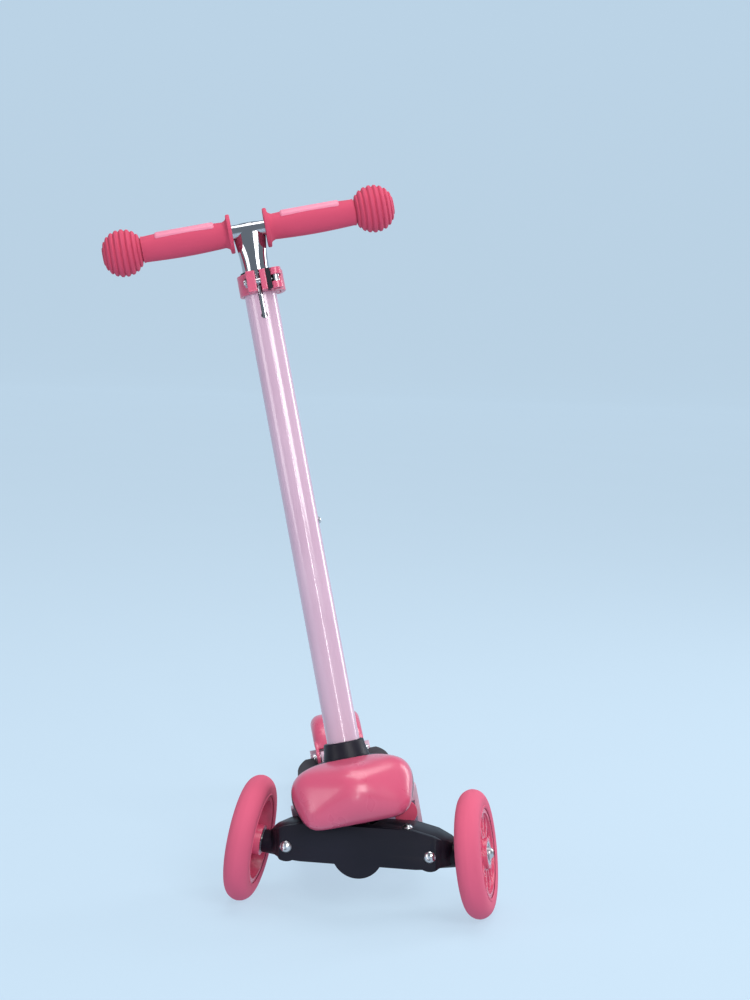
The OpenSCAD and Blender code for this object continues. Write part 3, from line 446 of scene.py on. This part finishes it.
    def _dots(self, tree: bpy.types.NodeTree, coord: bpy.types.Node) -> bpy.types.NodeSocket:
        """Rows of round raised dots with fine grit between them.

        Args:
            tree: The material's node tree.
            coord: The node that gives the piece's own coordinates.

        Returns:
            The socket that carries the height.
        """
        chassis = Places().chassis().inverted()
        turn = tree.nodes.new("ShaderNodeMapping")
        turn.inputs["Rotation"].default_value = chassis.to_euler()
        turn.inputs["Scale"].default_value = (self.cells, self.cells, self.cells)
        tree.links.new(coord.outputs["Object"], turn.inputs["Vector"])
        split = tree.nodes.new("ShaderNodeSeparateXYZ")
        tree.links.new(turn.outputs["Vector"], split.inputs["Vector"])
        waves = []
        for axis in ("X", "Y"):
            wave = tree.nodes.new("ShaderNodeMath")
            wave.operation = "SINE"
            tree.links.new(split.outputs[axis], wave.inputs[0])
            waves.append(wave)
        both = tree.nodes.new("ShaderNodeMath")
        both.operation = "MULTIPLY"
        tree.links.new(waves[0].outputs[0], both.inputs[0])
        tree.links.new(waves[1].outputs[0], both.inputs[1])
        grit = self._noise(tree, coord, self.grit_cells, 3.0)
        mix = tree.nodes.new("ShaderNodeMath")
        mix.operation = "MULTIPLY_ADD"
        mix.inputs[1].default_value = self.grit_share
        tree.links.new(grit.outputs["Fac"], mix.inputs[0])
        rounded = tree.nodes.new("ShaderNodeMath")
        rounded.operation = "SMOOTH_MAX"
        rounded.inputs[1].default_value = self.dot_floor
        rounded.inputs[2].default_value = self.dot_blend
        tree.links.new(both.outputs[0], rounded.inputs[0])
        tree.links.new(rounded.outputs[0], mix.inputs[2])
        return mix.outputs[0]

    def _noise(self, tree: bpy.types.NodeTree, source: bpy.types.Node, scale: float,
               detail: float, socket: str = "Object") -> bpy.types.Node:
        """Noise on the piece's own coordinates.

        Args:
            tree: The material's node tree.
            source: The node that gives the coordinates.
            scale: Cells per metre.
            detail: Octaves of detail.
            socket: The source's output to read.

        Returns:
            The noise node.
        """
        noise = tree.nodes.new("ShaderNodeTexNoise")
        noise.inputs["Scale"].default_value = scale
        noise.inputs["Detail"].default_value = detail
        tree.links.new(source.outputs[socket], noise.inputs["Vector"])
        return noise

    def dress(self, obj: bpy.types.Object) -> bpy.types.Object:
        """Give a piece this finish in all its slots.

        Args:
            obj: The piece.

        Returns:
            The same piece.
        """
        if obj.data.materials:
            for i in range(len(obj.data.materials)):
                obj.data.materials[i] = self.material()
        else:
            obj.data.materials.append(self.material())
        return obj


PINK = Finish("pink_moulding", (0.60, 0.085, 0.165), (0.585, 0.08, 0.155), roughness=0.32,
              relief=0.008, coat=0.3, coat_rough=0.15)
GRIP_PINK = Finish("grip_pink", (0.44, 0.038, 0.088), (0.41, 0.033, 0.079), Grain.LEATHER,
                   roughness=0.42, relief=0.02, cells=1500, sheen=0.3)
WHEEL_PINK = Finish("wheel_pink", (0.70, 0.13, 0.22), (0.66, 0.105, 0.19), roughness=0.26,
                    relief=0.008, cells=500, coat=0.3, scatter=0.35, sheen=0.7)
HUB_PINK = Finish("hub_pink", (0.62, 0.065, 0.145), (0.57, 0.052, 0.12), roughness=0.26,
                  relief=0.008, coat=0.3)
STOP_PINK = Finish("stop_pink", (0.58, 0.06, 0.13), (0.53, 0.05, 0.11), roughness=0.45,
                   relief=0.02, cells=1100, scatter=0.2)
PALE_COAT = Finish("pale_coat", (0.60, 0.39, 0.49), (0.575, 0.365, 0.465), roughness=0.2,
                   spread=0.04, relief=0.004, cells=420, coat=0.6, coat_rough=0.05)
PALE_MOULDING = Finish("pale_moulding", (0.62, 0.42, 0.51), (0.58, 0.385, 0.475), Grain.LEATHER,
                       roughness=0.42, relief=0.02, cells=1300)
BLACK = Finish("black_moulding", (0.011, 0.009, 0.017), (0.007, 0.006, 0.012), Grain.LEATHER,
               roughness=0.42, relief=0.018, cells=1700, specular=0.22)
MAT = Finish("mat_rubber", (0.018, 0.016, 0.026), (0.012, 0.011, 0.018), Grain.TREAD,
             roughness=0.62, relief=0.35, cells=780)
STEEL = Finish("plated_steel", (0.62, 0.62, 0.64), (0.55, 0.55, 0.57), Grain.BRUSHED,
               roughness=0.24, relief=0.01, cells=1500, metallic=1.0)
DARK_STEEL = Finish("dark_steel", (0.04, 0.04, 0.045), (0.03, 0.03, 0.033), roughness=0.4,
                    relief=0.02, cells=1200)
SPRING = Finish("spring_steel", (0.45, 0.45, 0.46), (0.38, 0.38, 0.39), Grain.BRUSHED,
                roughness=0.3, relief=0.01, cells=2500, metallic=1.0)
BRONZE = Finish("bronze", (0.55, 0.36, 0.16), (0.48, 0.30, 0.13), Grain.PEEL, roughness=0.4,
                relief=0.02, cells=2400, metallic=1.0)
CHROME = Finish("chrome_plate", (0.50, 0.50, 0.53), (0.47, 0.47, 0.50), roughness=0.08,
                spread=0.03, relief=0.001, cells=300, metallic=1.0)
# Raised grip panel: the shape is real, but its pale pink is a painted highlight on the lit upper face.
PANEL_HIGHLIGHT_PINK = Finish("panel_pink_highlight", (0.72, 0.22, 0.32), (0.68, 0.19, 0.29), Grain.LEATHER,
                    roughness=0.4, relief=0.02, cells=1500)
PAPER = Finish("sweep_paper", (0.558, 0.716, 0.855), (0.554, 0.711, 0.850), roughness=0.95,
               spread=0.03, relief=0.05, cells=300, blotch=1.2, glow=0.80)

SLOT_FINISH: dict[str, Finish] = {
    "pink_plastic": PINK, "grip_pink": GRIP_PINK, "wheel_pink": WHEEL_PINK, "hub_pink": HUB_PINK,
    "stop_pink": STOP_PINK, "pale_pink": PALE_COAT, "pale_plastic": PALE_MOULDING,
    "black_plastic": BLACK, "mat_rubber": MAT, "steel": STEEL, "dark_steel": DARK_STEEL,
    "spring_steel": SPRING, "bronze": BRONZE, "chrome": CHROME,
}


def node_slot(node: str) -> str:
    """The record's material slot of a CAD node."""
    return next(s["material_slot"] for s in frame["record"]["subparts"] if s["node"] == node)


def node_body(node: str) -> str:
    """The body that a CAD node moves with."""
    bodies = frame["record"]["behaviour"]["bodies"]
    return next(body for body, nodes in bodies.items() if node in nodes)


def stand_in(obj: bpy.types.Object, node: str, finish: Finish | None = None) -> bpy.types.Object:
    """Let a piece stand for a CAD node: same body, and its own finish or the one of the node's slot.

    Args:
        obj: The finished piece.
        node: The CAD node it replaces.
        finish: Its finish, or None for the slot's usual one.

    Returns:
        The same object.
    """
    slot = node_slot(node)
    (finish or SLOT_FINISH[slot]).dress(obj)
    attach(obj, node_body(node))
    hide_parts(node)
    log.info("%s stands for %s, %d faces", obj.name, node, len(obj.data.polygons))
    return obj


# Wheels ---------------------------------------------------------------------------


@dataclass(frozen=True)
class Wheel:
    """One wheel: cast tyre on a moulded hub. Sizes in mm, angles in degrees."""

    side: str
    place: Matrix
    radius: float
    width: float
    hub_radius: float
    bead_w: float = 2.2
    lip: float = 1.1
    flash: float = 0.12
    arc_deg: float = 78
    arc_steps: int = 24
    hub_ease: float = 0.55
    sides: int = 160

    def tyre_rings(self) -> list[Point]:
        """Section of the tyre, from one bead over the tread to the other.

        Returns:
            The rings, as turned() takes them.
        """
        half = self.width / 2
        bead = self.hub_radius + self.bead_w
        crown = self.radius - half
        # radius of each ring, and how far in from the tyre's side it lies
        wall = [
            (self.hub_radius, 1.2), (bead - 1.4, 0.35), (bead, 0.05),
            (bead + self.lip * 0.5, 0.7), (bead + self.lip * 1.4, 0.45),
        ]
        rings = [(r, r, -half + inwards) for r, inwards in wall]
        for k in range(self.arc_steps + 1):
            a = math.radians(-self.arc_deg + 2 * self.arc_deg * k / self.arc_steps)
            r = crown + half * math.cos(a)
            flash = self.flash if k == self.arc_steps // 2 else 0.0
            rings.append((r - self.flash + flash, r - self.flash + flash, half * math.sin(a)))
        mirror = [(x, y, -z) for x, y, z in rings[:len(wall)]]
        return rings + mirror[::-1]

    def build(self) -> None:
        """Model the tyre and soften the hub."""
        tyre = turned(f"{self.side}_tyre_cast", self.tyre_rings(), self.sides, closed=True)
        along = Matrix.Rotation(math.radians(90), 4, "Y")
        settle(tyre, self.place @ along, 50)
        stand_in(tyre, f"{self.side}_tyre")
        hub = eased(f"{self.side}_hub", f"{self.side}_hub_moulded", self.hub_ease)
        stand_in(hub, f"{self.side}_hub")


# Handlebar ------------------------------------------------------------------------


@dataclass(frozen=True)
class Handlebar:
    """Chrome T: stem that flares like a trumpet into the cross tube. Sizes in mm."""

    place: Matrix
    bar_height: float = 588
    foot: float = 106
    foot_edge: float = 0.6
    stem_r: float = 13
    bar_r: float = 8
    bar_half: float = 122
    flare_half: float = 15.7
    flare_curve: float = 2.2
    straight_below: float = 46
    flare_below: tuple[float, float] = (40, 6)
    flare_steps: int = 16
    sleeve: float = 1.2
    crown_rise: float = 6.6
    crown_curve: float = 0.35
    crown_tip: tuple[float, float] = (0.6, 0.4)
    crown_steps: int = 12
    sides: int = 96

    def stem_rings(self) -> list[Point]:
        """Section of the stem, from its foot up through the flare and over the cross tube.

        Returns:
            The rings, as turned() takes them.
        """
        edge = self.stem_r - self.foot_edge
        rings = [(edge, edge, self.foot), (self.stem_r, self.stem_r, self.foot + self.foot_edge)]
        rings.append((self.stem_r, self.stem_r, self.bar_height - self.straight_below))
        start, end = (self.bar_height - below for below in self.flare_below)
        for k in range(self.flare_steps + 1):
            t = k / self.flare_steps
            wide = self.stem_r + (self.flare_half - self.stem_r) * t**self.flare_curve
            deep = self.stem_r - (self.stem_r - self.bar_r - self.sleeve) * t * t * (3 - 2 * t)
            rings.append((wide, deep, start + (end - start) * t))
        for k in range(1, self.crown_steps + 1):
            a = math.radians(90 * k / self.crown_steps)
            wide = self.flare_half * math.cos(a) ** self.crown_curve
            if k == self.crown_steps:
                wide = self.crown_tip[0]
            deep = max(self.crown_tip[1], (self.bar_r + self.sleeve) * math.cos(a))
            rings.append((wide, deep, end + (self.bar_r + self.crown_rise) * math.sin(a)))
        return rings

    def build(self) -> None:
        """Model the stem and the cross tube as one piece."""
        stem = turned("handlebar_chrome", self.stem_rings(), self.sides)
        settle(stem, self.place, 60)
        bpy.ops.object.select_all(action="DESELECT")
        bpy.ops.mesh.primitive_cylinder_add(
            vertices=self.sides, radius=self.bar_r * MM, depth=2 * self.bar_half * MM,
            location=(0, 0, self.bar_height * MM), rotation=(0, math.radians(90), 0),
        )
        bar = settle(bpy.context.object, self.place, 40)
        bar.select_set(True)
        stem.select_set(True)
        bpy.context.view_layer.objects.active = stem
        bpy.ops.object.join()
        bpy.ops.object.shade_smooth_by_angle(angle=math.radians(50))
        stand_in(stem, "handlebar")


@dataclass(frozen=True)
class Grip:
    """Soft grip: flange, hand part with a raised panel in pale pink as a painted highlight, grooved ball. Sizes in
    mm.
    """

    side: int
    place: Matrix
    bar_height: float = 588
    start: float = 16
    bore: float = 8.03
    tip_r: float = 0.4
    flange_r: float = 19
    # step out from flange_r, and distance along from the start
    flange: tuple[tuple[float, float], ...] = (
        (-1.2, 0), (-0.35, 0.35), (0, 1.2), (0, 2.8), (-0.35, 3.6), (-1.2, 4),
    )
    hand_r: float = 13.5
    hand_belly: float = 1.2
    hand_steps: int = 8
    ball_at: float = 122
    ball_r: float = 23
    ball_half: float = 20
    ball_curve: float = 0.8
    ball_arc: tuple[float, float] = (-68, 144)
    ball_full_deg: float = 80
    grooves: int = 9
    groove_steps: int = 6
    groove_depth: float = 1.9
    groove_shoulder: float = 0.9
    panel_size: Point = (58.0, 11.0, 5.0)
    panel_rounds: tuple[tuple[float, int], ...] = ((4.6, 8), (0.8, 3))
    panel_rise: float = 0.75
    panel_lean: float = 36
    sides: int = 120

    @property
    def name(self) -> str:
        """The CAD node's name."""
        return "left_grip" if self.side > 0 else "right_grip"

    def hand_points(self) -> list[tuple[float, float]]:
        """Outline from the bore's blind end out over the flange and along the hand part.

        Returns:
            (radius, distance along) of each point.
        """
        points = [(self.tip_r, self.ball_at + 0.2), (self.bore, self.ball_at + 0.2)]
        points += [(self.bore, self.start + 0.5), (self.bore + 0.6, self.start)]
        points += [(self.flange_r + out, self.start + along) for out, along in self.flange]
        points += [(self.hand_r + 1.6, self.start + 4.2), (self.hand_r + 0.2, self.start + 5.4)]
        neck = self.ball_at - self.ball_half + 3
        for k in range(self.hand_steps + 1):
            z = self.start + 8 + (neck - self.start - 12) * k / self.hand_steps
            belly = self.hand_belly * math.sin(math.pi * k / self.hand_steps)
            points.append((self.hand_r - 1 + belly, z))
        points.append((self.hand_r - 0.6, neck - 1.5))
        return points

    def ball_points(self) -> list[tuple[float, float]]:
        """Outline of the grooved ball, out to its tip.

        Returns:
            (radius, distance along) of each point.
        """
        points = []
        steps = self.grooves * self.groove_steps
        middle = self.groove_steps // 2
        dips = {middle: self.groove_depth}
        dips[middle - 1] = dips[middle + 1] = self.groove_shoulder
        first, sweep = self.ball_arc
        for k in range(steps + 1):
            a = math.radians(first + sweep * k / steps)
            r = self.ball_r * math.cos(a) ** self.ball_curve - 0.1
            out = self.ball_half * math.sin(a) / math.sin(math.radians(self.ball_full_deg))
            dip = dips.get(k % self.groove_steps, 0.0)
            points.append((max(r - dip, 0.5), self.ball_at + out))
        points.append((self.ball_r * 0.3, self.ball_at + self.ball_half - 0.35))
        points.append((self.tip_r, self.ball_at + self.ball_half - 0.1))
        return points

    def panel(self) -> None:
        """Shallow raised panel along the top of the hand part; its pale pink is a painted highlight."""
        bpy.ops.object.select_all(action="DESELECT")
        bpy.ops.mesh.primitive_cube_add(size=MM, location=(0, 0, 0))
        pad = bpy.context.object
        pad.name = f"{self.name}_panel"
        pad.scale = self.panel_size
        bpy.ops.object.transform_apply(scale=True)
        for width, segments in self.panel_rounds:
            round_edges(pad, width, segments, sharp_deg=50)
        middle = (self.start + 4 + self.ball_at - self.ball_half) / 2
        lift = (self.hand_r + self.panel_rise - self.panel_size[2] / 2) * MM
        lean = math.radians(self.panel_lean)
        pad.rotation_euler.x = lean
        pad.location = (
            self.side * middle * MM, -lift * math.sin(lean),
            self.bar_height * MM + lift * math.cos(lean),
        )
        settle(pad, self.place, 50)
        # pale pink here is a painted highlight on the panel
        PANEL_HIGHLIGHT_PINK.dress(pad)
        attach(pad, "steerer")
        log.info("%s added, %d faces", pad.name, len(pad.data.polygons))

    def build(self) -> None:
        """Model the grip and its panel."""
        outline = self.hand_points() + self.ball_points()
        grip = turned(f"{self.name}_soft", [(r, r, z) for r, z in outline], self.sides)
        turn = Matrix.Translation((0, 0, self.bar_height * MM))
        turn = turn @ Matrix.Rotation(math.radians(90 * self.side), 4, "Y")
        settle(grip, self.place @ turn, 32)
        self.panel()
        stand_in(grip, self.name)


# Column ---------------------------------------------------------------------------


@dataclass(frozen=True)
class Column:
    """Painted tube with its slot, collar and clamp. Sizes in mm."""

    place: Matrix
    radius: float = 15.5
    wall: float = 1.6
    edge: float = 0.4
    foot: float = 48
    top: float = 546
    tube_sides: int = 128
    slot_w: float = 4.4
    slot_len: float = 43
    slot_hole: float = 0.9
    slot_over: float = 5
    slot_depth: float = 20
    collar: tuple[float, float] = (75.1, 91.0)
    # step out from the tube's radius, and height from the collar's low and high end
    collar_low: tuple[tuple[float, float], ...] = (
        (0.05, 0), (6.2, 0), (6.8, 0.7), (6.0, 3), (5.0, 7), (4.3, 11),
    )
    collar_high: tuple[tuple[float, float], ...] = ((3.8, -1), (3.0, 0), (0.05, 0))
    collar_sides: int = 96
    # node, cell size in mm and rounds of smoothing
    clamp_parts: tuple[tuple[str, float, int], ...] = (
        ("clamp_ring", 0.5, 5), ("clamp_lever", 0.42, 6),
    )

    def tube(self) -> None:
        """Tube with eased ends and the slot cut at the front."""
        out, bore, ease = self.radius, self.radius - self.wall, self.edge
        rings = [(bore, self.foot), (out - ease, self.foot), (out, self.foot + ease)]
        rings += [(out, self.top - ease), (out - ease, self.top), (bore, self.top)]
        rings += [(bore, self.foot)]
        tube = turned("column_painted", [(r, r, z) for r, z in rings], self.tube_sides, closed=True)
        for tool in self.slot_tools():
            refine(tube, "BOOLEAN", operation="DIFFERENCE", solver="EXACT", object=tool)
            bpy.data.objects.remove(tool)
        settle(tube, self.place, 40)
        stand_in(tube, "column_tube")

    def slot_tools(self) -> tuple[bpy.types.Object, bpy.types.Object]:
        """Shapes that cut the slot and the round hole at its end.

        Returns:
            The two shapes, to be thrown away after the cut.
        """
        bpy.ops.object.select_all(action="DESELECT")
        middle = self.top - self.slot_len / 2 + self.slot_over
        bpy.ops.mesh.primitive_cube_add(
            size=MM, location=(0, -self.slot_depth * MM, middle * MM)
        )
        slot = bpy.context.object
        slot.scale = (self.slot_w, self.slot_depth, self.slot_len + 2 * self.slot_over)
        bpy.ops.object.transform_apply(scale=True)
        bpy.ops.mesh.primitive_cylinder_add(
            vertices=48, radius=(self.slot_w / 2 + self.slot_hole) * MM,
            depth=self.slot_depth * MM,
            location=(0, -self.slot_depth * MM, (self.top - self.slot_len) * MM),
            rotation=(math.radians(90), 0, 0),
        )
        return slot, bpy.context.object

    def soft_collar(self) -> None:
        """Collar at the foot, wide below and narrow above, with rounded edges."""
        low, high = self.collar
        rings = [(self.radius + out, low + up) for out, up in self.collar_low]
        rings += [(self.radius + out, high + up) for out, up in self.collar_high]
        rings.append(rings[0])
        collar = turned(
            "column_collar_soft", [(r, r, z) for r, z in rings], self.collar_sides, closed=True
        )
        round_edges(collar, 0.5, segments=3, sharp_deg=12)
        settle(collar, self.place, 50)
        stand_in(collar, "column_collar")

    def build(self) -> None:
        """Tube, collar, clamp ring and lever."""
        self.tube()
        self.soft_collar()
        for node, voxel, passes in self.clamp_parts:
            stand_in(moulded(node, f"{node}_moulded", voxel, passes), node)


# Nose -----------------------------------------------------------------------------


@dataclass(frozen=True)
class Nose:
    """Rounded cover and housing, laid on one smooth body. Sizes in mm."""

    place: Matrix
    # X, Y, Z and radius; one off the middle stands for a pair
    balls: tuple[tuple[float, float, float, float], ...] = (
        (37, -29, 103, 14), (38, -9, 118, 19), (38, -9, 123, 19), (24, 10, 124, 18),
        (14, 32, 122, 16), (43.5, 30, 117, 12), (48.5, 36, 101, 10), (40, 70, 80, 8),
        (0, -26, 117, 26),
    )
    # CAD node, name of the new piece and cell size
    shells: tuple[tuple[str, str, float], ...] = (
        ("nose_cover", "nose_cover_gloss", 0.8), ("housing", "housing_moulded", 0.85),
    )
    form_cells: float = 2.5
    melt: int = 60
    swell: float = 1.022
    skin_depth: tuple[float, float] = (0.8, 1.7)

    def hull(self) -> bpy.types.Object:
        """Hull stretched over the balls.

        Returns:
            The hull, in place.
        """
        bpy.ops.object.select_all(action="DESELECT")
        made = []
        for x, y, z, r in self.balls:
            for side in (1, -1) if x else (1,):
                bpy.ops.mesh.primitive_uv_sphere_add(
                    segments=64, ring_count=32, radius=r * MM,
                    location=(side * x * MM, y * MM, z * MM),
                )
                made.append(bpy.context.object)
        for ball in made:
            ball.select_set(True)
        bpy.ops.object.join()
        with edit_all():
            bpy.ops.mesh.convex_hull()
        return settle(bpy.context.object, self.place)

    def smooth_body(self) -> bpy.types.Object:
        """Rounded copy of the selected hull, that both shells are laid on.

        Returns:
            The body, swollen back to the hull's size.
        """
        bpy.ops.object.duplicate()
        body = bpy.context.object
        refine(body, "REMESH", mode="VOXEL", voxel_size=self.form_cells * MM)
        refine(body, "SMOOTH", factor=0.8, iterations=self.melt)
        middle = sum((v.co for v in body.data.vertices), Vector()) / len(body.data.vertices)
        with edit_all():
            bpy.ops.transform.resize(value=(self.swell,) * 3, center_override=tuple(middle))
        return body

    def shell(self, node: str, name: str, voxel: float, hull: bpy.types.Object,
              body: bpy.types.Object) -> None:
        """One shell: the CAD's walls with their outer skin laid on the smooth body.

        Args:
            node: The CAD node.
            name: Name of the new piece.
            voxel: Size of the mesh's cells, in mm.
            hull: The raw hull, which tells the outer skin from the inner one.
            body: The smooth body.
        """
        shell = moulded(node, name, voxel, 2)
        skin = "skin"
        shell.vertex_groups.new(name=skin).add(range(len(shell.data.vertices)), 1.0, "REPLACE")
        full, none = self.skin_depth
        refine(shell, "VERTEX_WEIGHT_PROXIMITY", vertex_group=skin, target=hull,
               proximity_mode="GEOMETRY", proximity_geometry={"FACE"},
               min_dist=none * MM, max_dist=full * MM)
        refine(shell, "SHRINKWRAP", target=body, wrap_method="NEAREST_SURFACEPOINT",
               vertex_group=skin)
        refine(shell, "SMOOTH", factor=0.4, iterations=3)
        bpy.ops.object.shade_smooth()
        stand_in(shell, node)

    def build(self) -> None:
        """Both shells; the forms are thrown away."""
        hull = self.hull()
        body = self.smooth_body()
        for node, name, voxel in self.shells:
            self.shell(node, name, voxel, hull, body)
        for form in (hull, body):
            bpy.data.objects.remove(form)


# Deck, beam and brake -------------------------------------------------------------


@dataclass(frozen=True)
class SoftEdged:
    """CAD nodes redrawn with eased edges: (node, width of the edge in mm)."""

    nodes: tuple[tuple[str, float], ...] = (
        ("beam_body", 0.9), ("beam_face", 0.9), ("deck", 0.8), ("deck_mat", 0.7),
        ("bump_stops", 0.6), ("steering_bracket", 0.5), ("top_bush", 0.25),
    )

    def build(self) -> None:
        """Redraw them one by one."""
        for node, width in self.nodes:
            stand_in(eased(node, f"{node}_eased", width), node)


@dataclass(frozen=True)
class Brake:
    """Foot brake over the rear wheel."""

    voxel: float = 0.75
    passes: int = 6

    def build(self) -> None:
        """Melt the fender's facets."""
        fender = moulded("brake_fender", "brake_fender_moulded", self.voxel, self.passes)
        stand_in(fender, "brake_fender")


# Studio ---------------------------------------------------------------------------


@dataclass(frozen=True)
class Softbox:
    """Rectangular area light aimed at a point."""

    name: str
    at: Point
    aim: Point
    size: tuple[float, float]
    power: float
    colour: Colour = (1.0, 1.0, 1.0)

    def build(self) -> None:
        """Hang the light."""
        light = bpy.data.lights.new(self.name, "AREA")
        light.shape = "RECTANGLE"
        light.size, light.size_y = self.size
        light.energy = self.power
        light.color = self.colour
        obj = bpy.data.objects.new(self.name, light)
        bpy.context.scene.collection.objects.link(obj)
        obj.location = self.at
        away = Vector(self.aim) - Vector(self.at)
        obj.rotation_euler = away.to_track_quat("-Z", "Y").to_euler()


@dataclass(frozen=True)
class Studio:
    """Plain pale sweep, sky and soft lights. Lengths in metres."""

    sky: Colour = (0.54, 0.64, 0.74)
    sky_strength: float = 0.44
    lights: tuple[Softbox, ...] = (
        Softbox("key", (1.5, -2.0, 1.8), (0.05, 0.0, 0.30), (1.0, 1.4), 40),
        Softbox("strip", (0.75, -1.9, 0.55), (0.0, -0.1, 0.45), (0.10, 1.5), 9),
        Softbox("fill", (-2.0, -1.9, 1.0), (0.05, 0.0, 0.35), (1.0, 1.6), 16),
        Softbox("top", (0.1, 0.1, 2.2), (0.05, 0.0, 0.3), (1.6, 1.2), 26),
        Softbox("rim", (1.5, 1.0, 1.0), (0.0, 0.0, 0.4), (0.5, 1.5), 16),
    )
    floor_size: float = 60
    floor_y: float = -24
    bend: float = 1.5
    bend_steps: int = 12
    wall: float = 5

    def sweep(self) -> None:
        """Floor that curves up into a back wall."""
        bpy.ops.object.select_all(action="DESELECT")
        bpy.ops.mesh.primitive_plane_add(size=self.floor_size, location=(0, self.floor_y, 0))
        floor = bpy.context.object
        floor.name = "studio_sweep"
        bpy.ops.object.mode_set(mode="EDIT")
        bpy.ops.mesh.select_mode(type="EDGE")
        bpy.ops.mesh.select_all(action="DESELECT")
        bpy.ops.object.mode_set(mode="OBJECT")
        for edge in floor.data.edges:
            edge.select = all(floor.data.vertices[v].co.y > 0 for v in edge.vertices)
        bpy.ops.object.mode_set(mode="EDIT")
        step = 2 * self.bend * math.sin(math.radians(45 / self.bend_steps))
        for k in range(self.bend_steps):
            a = math.radians(90 * (k + 0.5) / self.bend_steps)
            bpy.ops.mesh.extrude_edges_move(
                TRANSFORM_OT_translate={"value": (0, step * math.cos(a), step * math.sin(a))}
            )
        bpy.ops.mesh.extrude_edges_move(TRANSFORM_OT_translate={"value": (0, 0, self.wall)})
        bpy.ops.object.mode_set(mode="OBJECT")
        bpy.ops.object.shade_smooth()
        PAPER.dress(floor)

    def build(self) -> None:
        """Sweep, sky and lights, with plain tones."""
        self.sweep()
        world = bpy.data.worlds.new("studio_air")
        bpy.context.scene.world = world
        world.use_nodes = True
        air = world.node_tree.nodes["Background"]
        air.inputs["Color"].default_value = (*self.sky, 1)
        air.inputs["Strength"].default_value = self.sky_strength
        for light in self.lights:
            light.build()
        bpy.context.scene.view_settings.view_transform = "Standard"


@dataclass(frozen=True)
class Camera:
    """Camera of the main view. Lengths in metres, lens and sensor in mm, roll in degrees."""

    at: Point = (0.44414, -2.14845, 0.62903)
    aim: Point = (0.0708, -0.1419, 0.3792)
    lens: float = 78.05
    roll: float = 1.23
    sensor: float = 36

    def build(self) -> None:
        """Set up the scene's camera."""
        data = bpy.data.cameras.new("camera")
        data.lens = self.lens
        data.sensor_fit = "VERTICAL"
        data.sensor_height = self.sensor
        camera = bpy.data.objects.new("camera", data)
        bpy.context.scene.collection.objects.link(camera)
        turn = (Vector(self.aim) - Vector(self.at)).to_track_quat("-Z", "Y").to_matrix().to_4x4()
        camera.matrix_world = (
            Matrix.Translation(self.at) @ turn @ Matrix.Rotation(math.radians(self.roll), 4, "Z")
        )
        bpy.context.scene.camera = camera


def main() -> None:
    """Build every sub-assembly in order, then dress what is left of the frame."""
    logging.basicConfig(level=logging.INFO, format="%(message)s")
    places = Places()
    Studio().build()
    Camera().build()
    Nose(places.chassis()).build()
    Column(places.column()).build()
    Handlebar(places.column()).build()
    for side in (1, -1):
        Grip(side, places.column()).build()
    for side, name in ((1, "left"), (-1, "right")):
        wheel = Wheel(name, places.front_wheel(side), radius=60, width=24, hub_radius=41.5)
        wheel.build()
    Wheel("rear", places.rear_wheel(), radius=40, width=24, hub_radius=26).build()
    SoftEdged().build()
    Brake().build()
    for name, node in frame["nodes"].items():
        SLOT_FINISH[node_slot(name)].dress(node)


if __name__ == "__main__":
    main()
